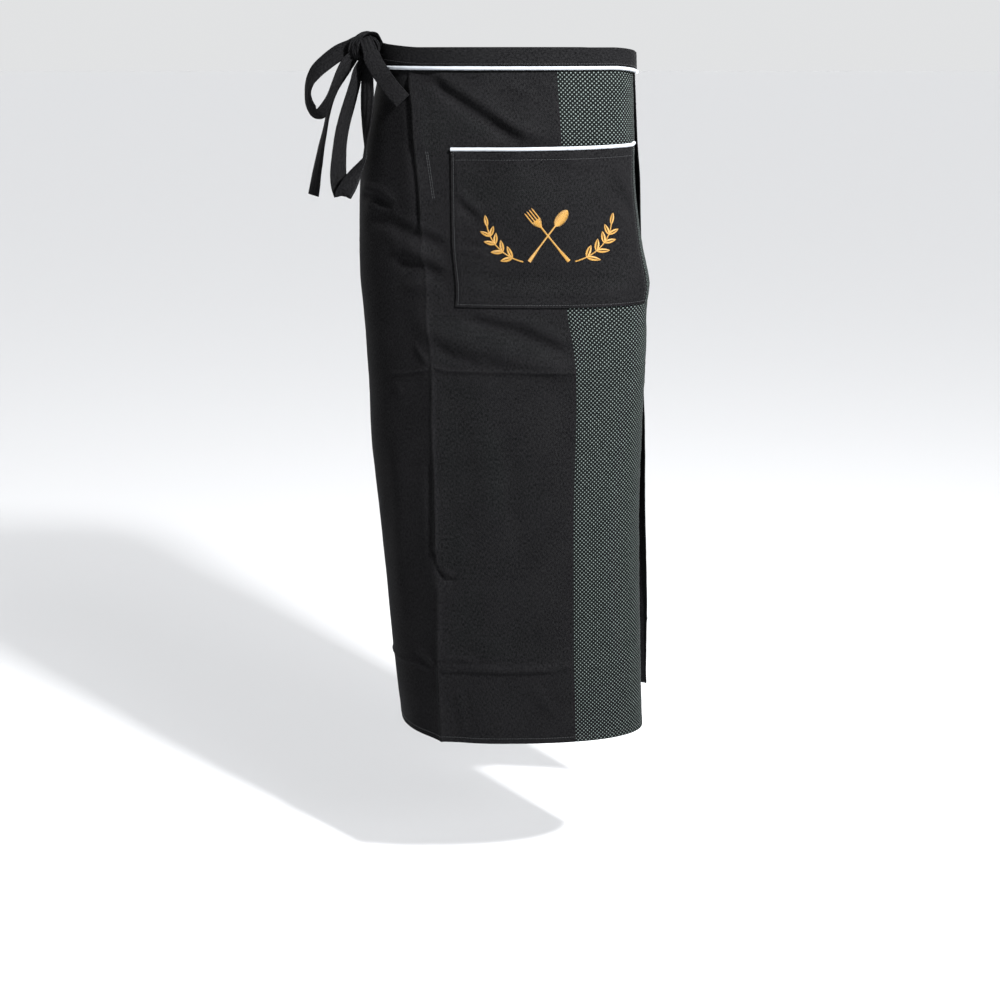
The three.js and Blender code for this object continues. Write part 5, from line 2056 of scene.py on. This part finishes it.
    # Rows: right, up and front of the knot's middle, then the direction across, in the same order
    wrap_over = (
        (-16.0, -17.0, 4.0, 0.9, 0.2, 0.3), (-17.5, -8.0, 10.0, 0.9, 0.2, 0.4),
        (-15.0, 3.0, 13.0, 0.7, -0.3, 0.6), (-8.0, 11.5, 10.0, 0.3, -0.3, 0.9),
        (1.0, 15.0, 5.0, 0.0, -0.1, 1.0), (9.5, 12.5, 2.0, 0.1, 0.2, 1.0),
        (14.0, 4.0, 2.0, 0.3, 0.2, 0.9), (14.5, -6.0, 5.0, 0.5, 0.2, 0.8),
        (9.0, -15.0, 6.0, 0.5, 0.3, 0.7),
    )
    left_fold = (
        (-6.0, 6.0, 8.0, 0.4, 0.8, 0.3), (-12.0, 2.0, 15.0, 0.5, 0.6, 0.5),
        (-15.0, -6.0, 14.0, 0.9, 0.2, 0.3), (-12.0, -14.0, 9.0, 0.9, 0.1, 0.2),
        (-5.0, -15.0, 4.0, 0.8, 0.4, 0.2),
    )
    right_fold = (
        (2.0, 9.0, 8.0, 0.6, 0.6, 0.4), (8.0, 5.0, 11.0, 0.6, 0.5, 0.6),
        (11.0, -3.0, 10.0, 0.8, 0.3, 0.5), (8.0, -11.0, 8.0, 0.8, 0.2, 0.4),
    )

    def knot_mesh(self, material: bpy.types.Material) -> bpy.types.Object:
        """The knot: a gathered core, with the tape wrapped over it and two small folds.

        Args:
            material: its finish.

        Returns:
            The piece.
        """
        parts = [sweep("knot_core", *self.lump(), material)]
        for route, width in ((self.wrap_over, 13.0), (self.left_fold, 9.0), (self.right_fold, 9.0)):
            parts.append(sweep("knot_part", *self.knot_tape(route, width), material))
        return join("knot_tape", parts)

    def build(self, finishes: Finishes) -> None:
        """Makes the ties, the knot and the bow's four strands.

        Args:
            finishes: the materials.
        """
        cloth = finishes.tie_twill
        self.add_tape("front_tie_tape", self.front_tie(), cloth, ["front_tie"])
        self.add_tape("back_tie_tape", self.back_tie(), cloth, ["back_tie"])
        for strand in (SHORT_LOOP, LONG_LOOP, HANGING_TAIL, FRONT_TAIL):
            self.add_tape(strand.name, self.strand(strand), cloth, [strand.node])
        finish_piece(self.knot_mesh(cloth), ["knot"])

    def stitch_paths(self) -> list[ThreadPath]:
        """Rows along one edge of every tape."""
        return [tape.edge_path(-1.0, 6, len(tape.middle) - 10) for tape in self.tapes]


# Camera, floor and light


class Studio:
    """Camera at the photograph's angle, pale floor and soft light."""

    lens = 62.4
    place = (-0.0086, -2.2, 0.021)
    pitch = 14.9
    lit_place = (0.0, 0.0, -0.3)
    floor_height = -1.07
    floor_half = 60.0
    # Strength of the surroundings below and above, and the heights (as sines) between which it falls
    glow = (0.785, 0.12)
    glow_heights = (0.14, 0.40)

    def camera(self) -> None:
        """Makes the camera."""
        data = bpy.data.cameras.new("camera")
        data.sensor_width = 36.0
        data.lens = self.lens
        data.clip_end = 200.0
        camera = place_object("camera", data)
        camera.location = self.place
        camera.rotation_euler = (math.radians(90 - self.pitch), 0.0, 0.0)
        bpy.context.scene.camera = camera

    def lamp(self, name: str, place: tuple[float, float, float], size: float, power: float) -> None:
        """Makes a square light near the apron, which shines at its middle.

        Args:
            name: its name.
            place: where it stands, in metres.
            size: its side.
            power: its power in watts.
        """
        data = bpy.data.lights.new(name, "AREA")
        data.shape = "SQUARE"
        data.size = size
        data.energy = power
        light = place_object(name, data)
        light.location = place
        aim = Vector(self.lit_place) - Vector(place)
        light.rotation_euler = aim.to_track_quat("-Z", "Y").to_euler()

    def sun(self, name: str, side: float, height: float, strength: float, spread: float) -> None:
        """Makes a distant soft light.

        Args:
            name: its name.
            side: its angle round the apron, in degrees from the front towards the right.
            height: its angle above the floor, in degrees.
            strength: its strength in watts per square metre.
            spread: its apparent width, in degrees, which softens the shadows.
        """
        data = bpy.data.lights.new(name, "SUN")
        data.energy = strength
        data.angle = math.radians(spread)
        light = place_object(name, data)
        turn, rise = math.radians(side), math.radians(height)
        place = Vector((math.sin(turn) * math.cos(rise), -math.cos(turn) * math.cos(rise), math.sin(rise)))
        light.location = place * 3.0
        light.rotation_euler = place.to_track_quat("Z", "Y").to_euler()

    def surroundings(self) -> None:
        """Makes the pale studio round the floor: as pale as the floor low down, dimmer above."""
        world = bpy.data.worlds.new("studio")
        world.use_nodes = True
        tree = world.node_tree
        sky = add_node(tree, "ShaderNodeTexCoord").outputs["Generated"]
        height = add_node(tree, "ShaderNodeSeparateXYZ", inputs={0: sky}).outputs["Z"]
        strength = add_node(tree, "ShaderNodeMapRange", inputs={
            "Value": height, "From Min": self.glow_heights[0], "From Max": self.glow_heights[1],
            "To Min": self.glow[0], "To Max": self.glow[1]})
        background = tree.nodes["Background"]
        background.inputs["Color"].default_value = linear("#fbfcfd")
        tree.links.new(strength.outputs[0], background.inputs["Strength"])
        bpy.context.scene.world = world

    def build(self) -> None:
        """Makes the floor, the lights and the pale surroundings."""
        self.camera()
        half = self.floor_half
        mesh = bpy.data.meshes.new("floor")
        mesh.from_pydata([(-half, -half, self.floor_height), (half, -half, self.floor_height),
                          (half, half, self.floor_height), (-half, half, self.floor_height)],
                         [], [(0, 1, 2, 3)])
        mesh.materials.append(FloorFinish().build())
        place_object("floor", mesh)
        self.lamp("key", (0.95, -1.30, 0.95), 0.16, 130.0)
        self.sun("room", 38.0, 34.0, 0.4, 14.0)
        self.sun("back_left", -142.0, 34.0, 2.9, 50.0)
        self.sun("back_right", 148.0, 34.0, 2.3, 50.0)
        self.surroundings()
        bpy.context.scene.view_settings.view_transform = "Standard"


def write_sizes() -> None:
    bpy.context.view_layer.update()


def main() -> None:
    """Builds the scene piece by piece."""
    logging.basicConfig(level=logging.INFO, format="%(name)s: %(message)s")
    Studio().build()
    finishes = Finishes.make()
    form = WornForm(SIZES)
    threads, piping = ThreadRows(), Piping()
    wrap, band, pocket, bow = Wrap(form), Waistband(form), Pocket(form), Bow(form)
    wrap.build(finishes)
    band.build(finishes)
    radius = SIZES.piping / 2
    height = SIZES.panel_top - radius
    along = evenly(0.0, form.width, 2.0)
    cord = form.cloth(along, np.full_like(along, height), radius + 2 * SIZES.gap)
    line = piping.sweep("waist_piping_cord", cord, SIZES.piping, finishes.white_piping)
    finish_piece(line, ["waist_piping"])
    pocket.build(finishes, piping)
    bow.build(finishes)
    for name, paths in (("wrap_stitches", wrap.stitch_paths()), ("band_stitches", band.stitch_paths()),
                        ("pocket_stitches", pocket.stitch_paths()), ("tie_stitches", bow.stitch_paths())):
        rows = threads.lay(name, paths, finishes.grey_thread, 3.4, 0.55, 0.45, 0.06)
        finish_piece(rows)
    motif = threads.lay("pocket_embroidery", Embroidery(form, pocket).paths(), finishes.gold_thread,
                        Embroidery.thread * 0.85, Embroidery.thread, 0.7, 0.03)
    finish_piece(motif)
    write_sizes()


if __name__ == "__main__":
    main()
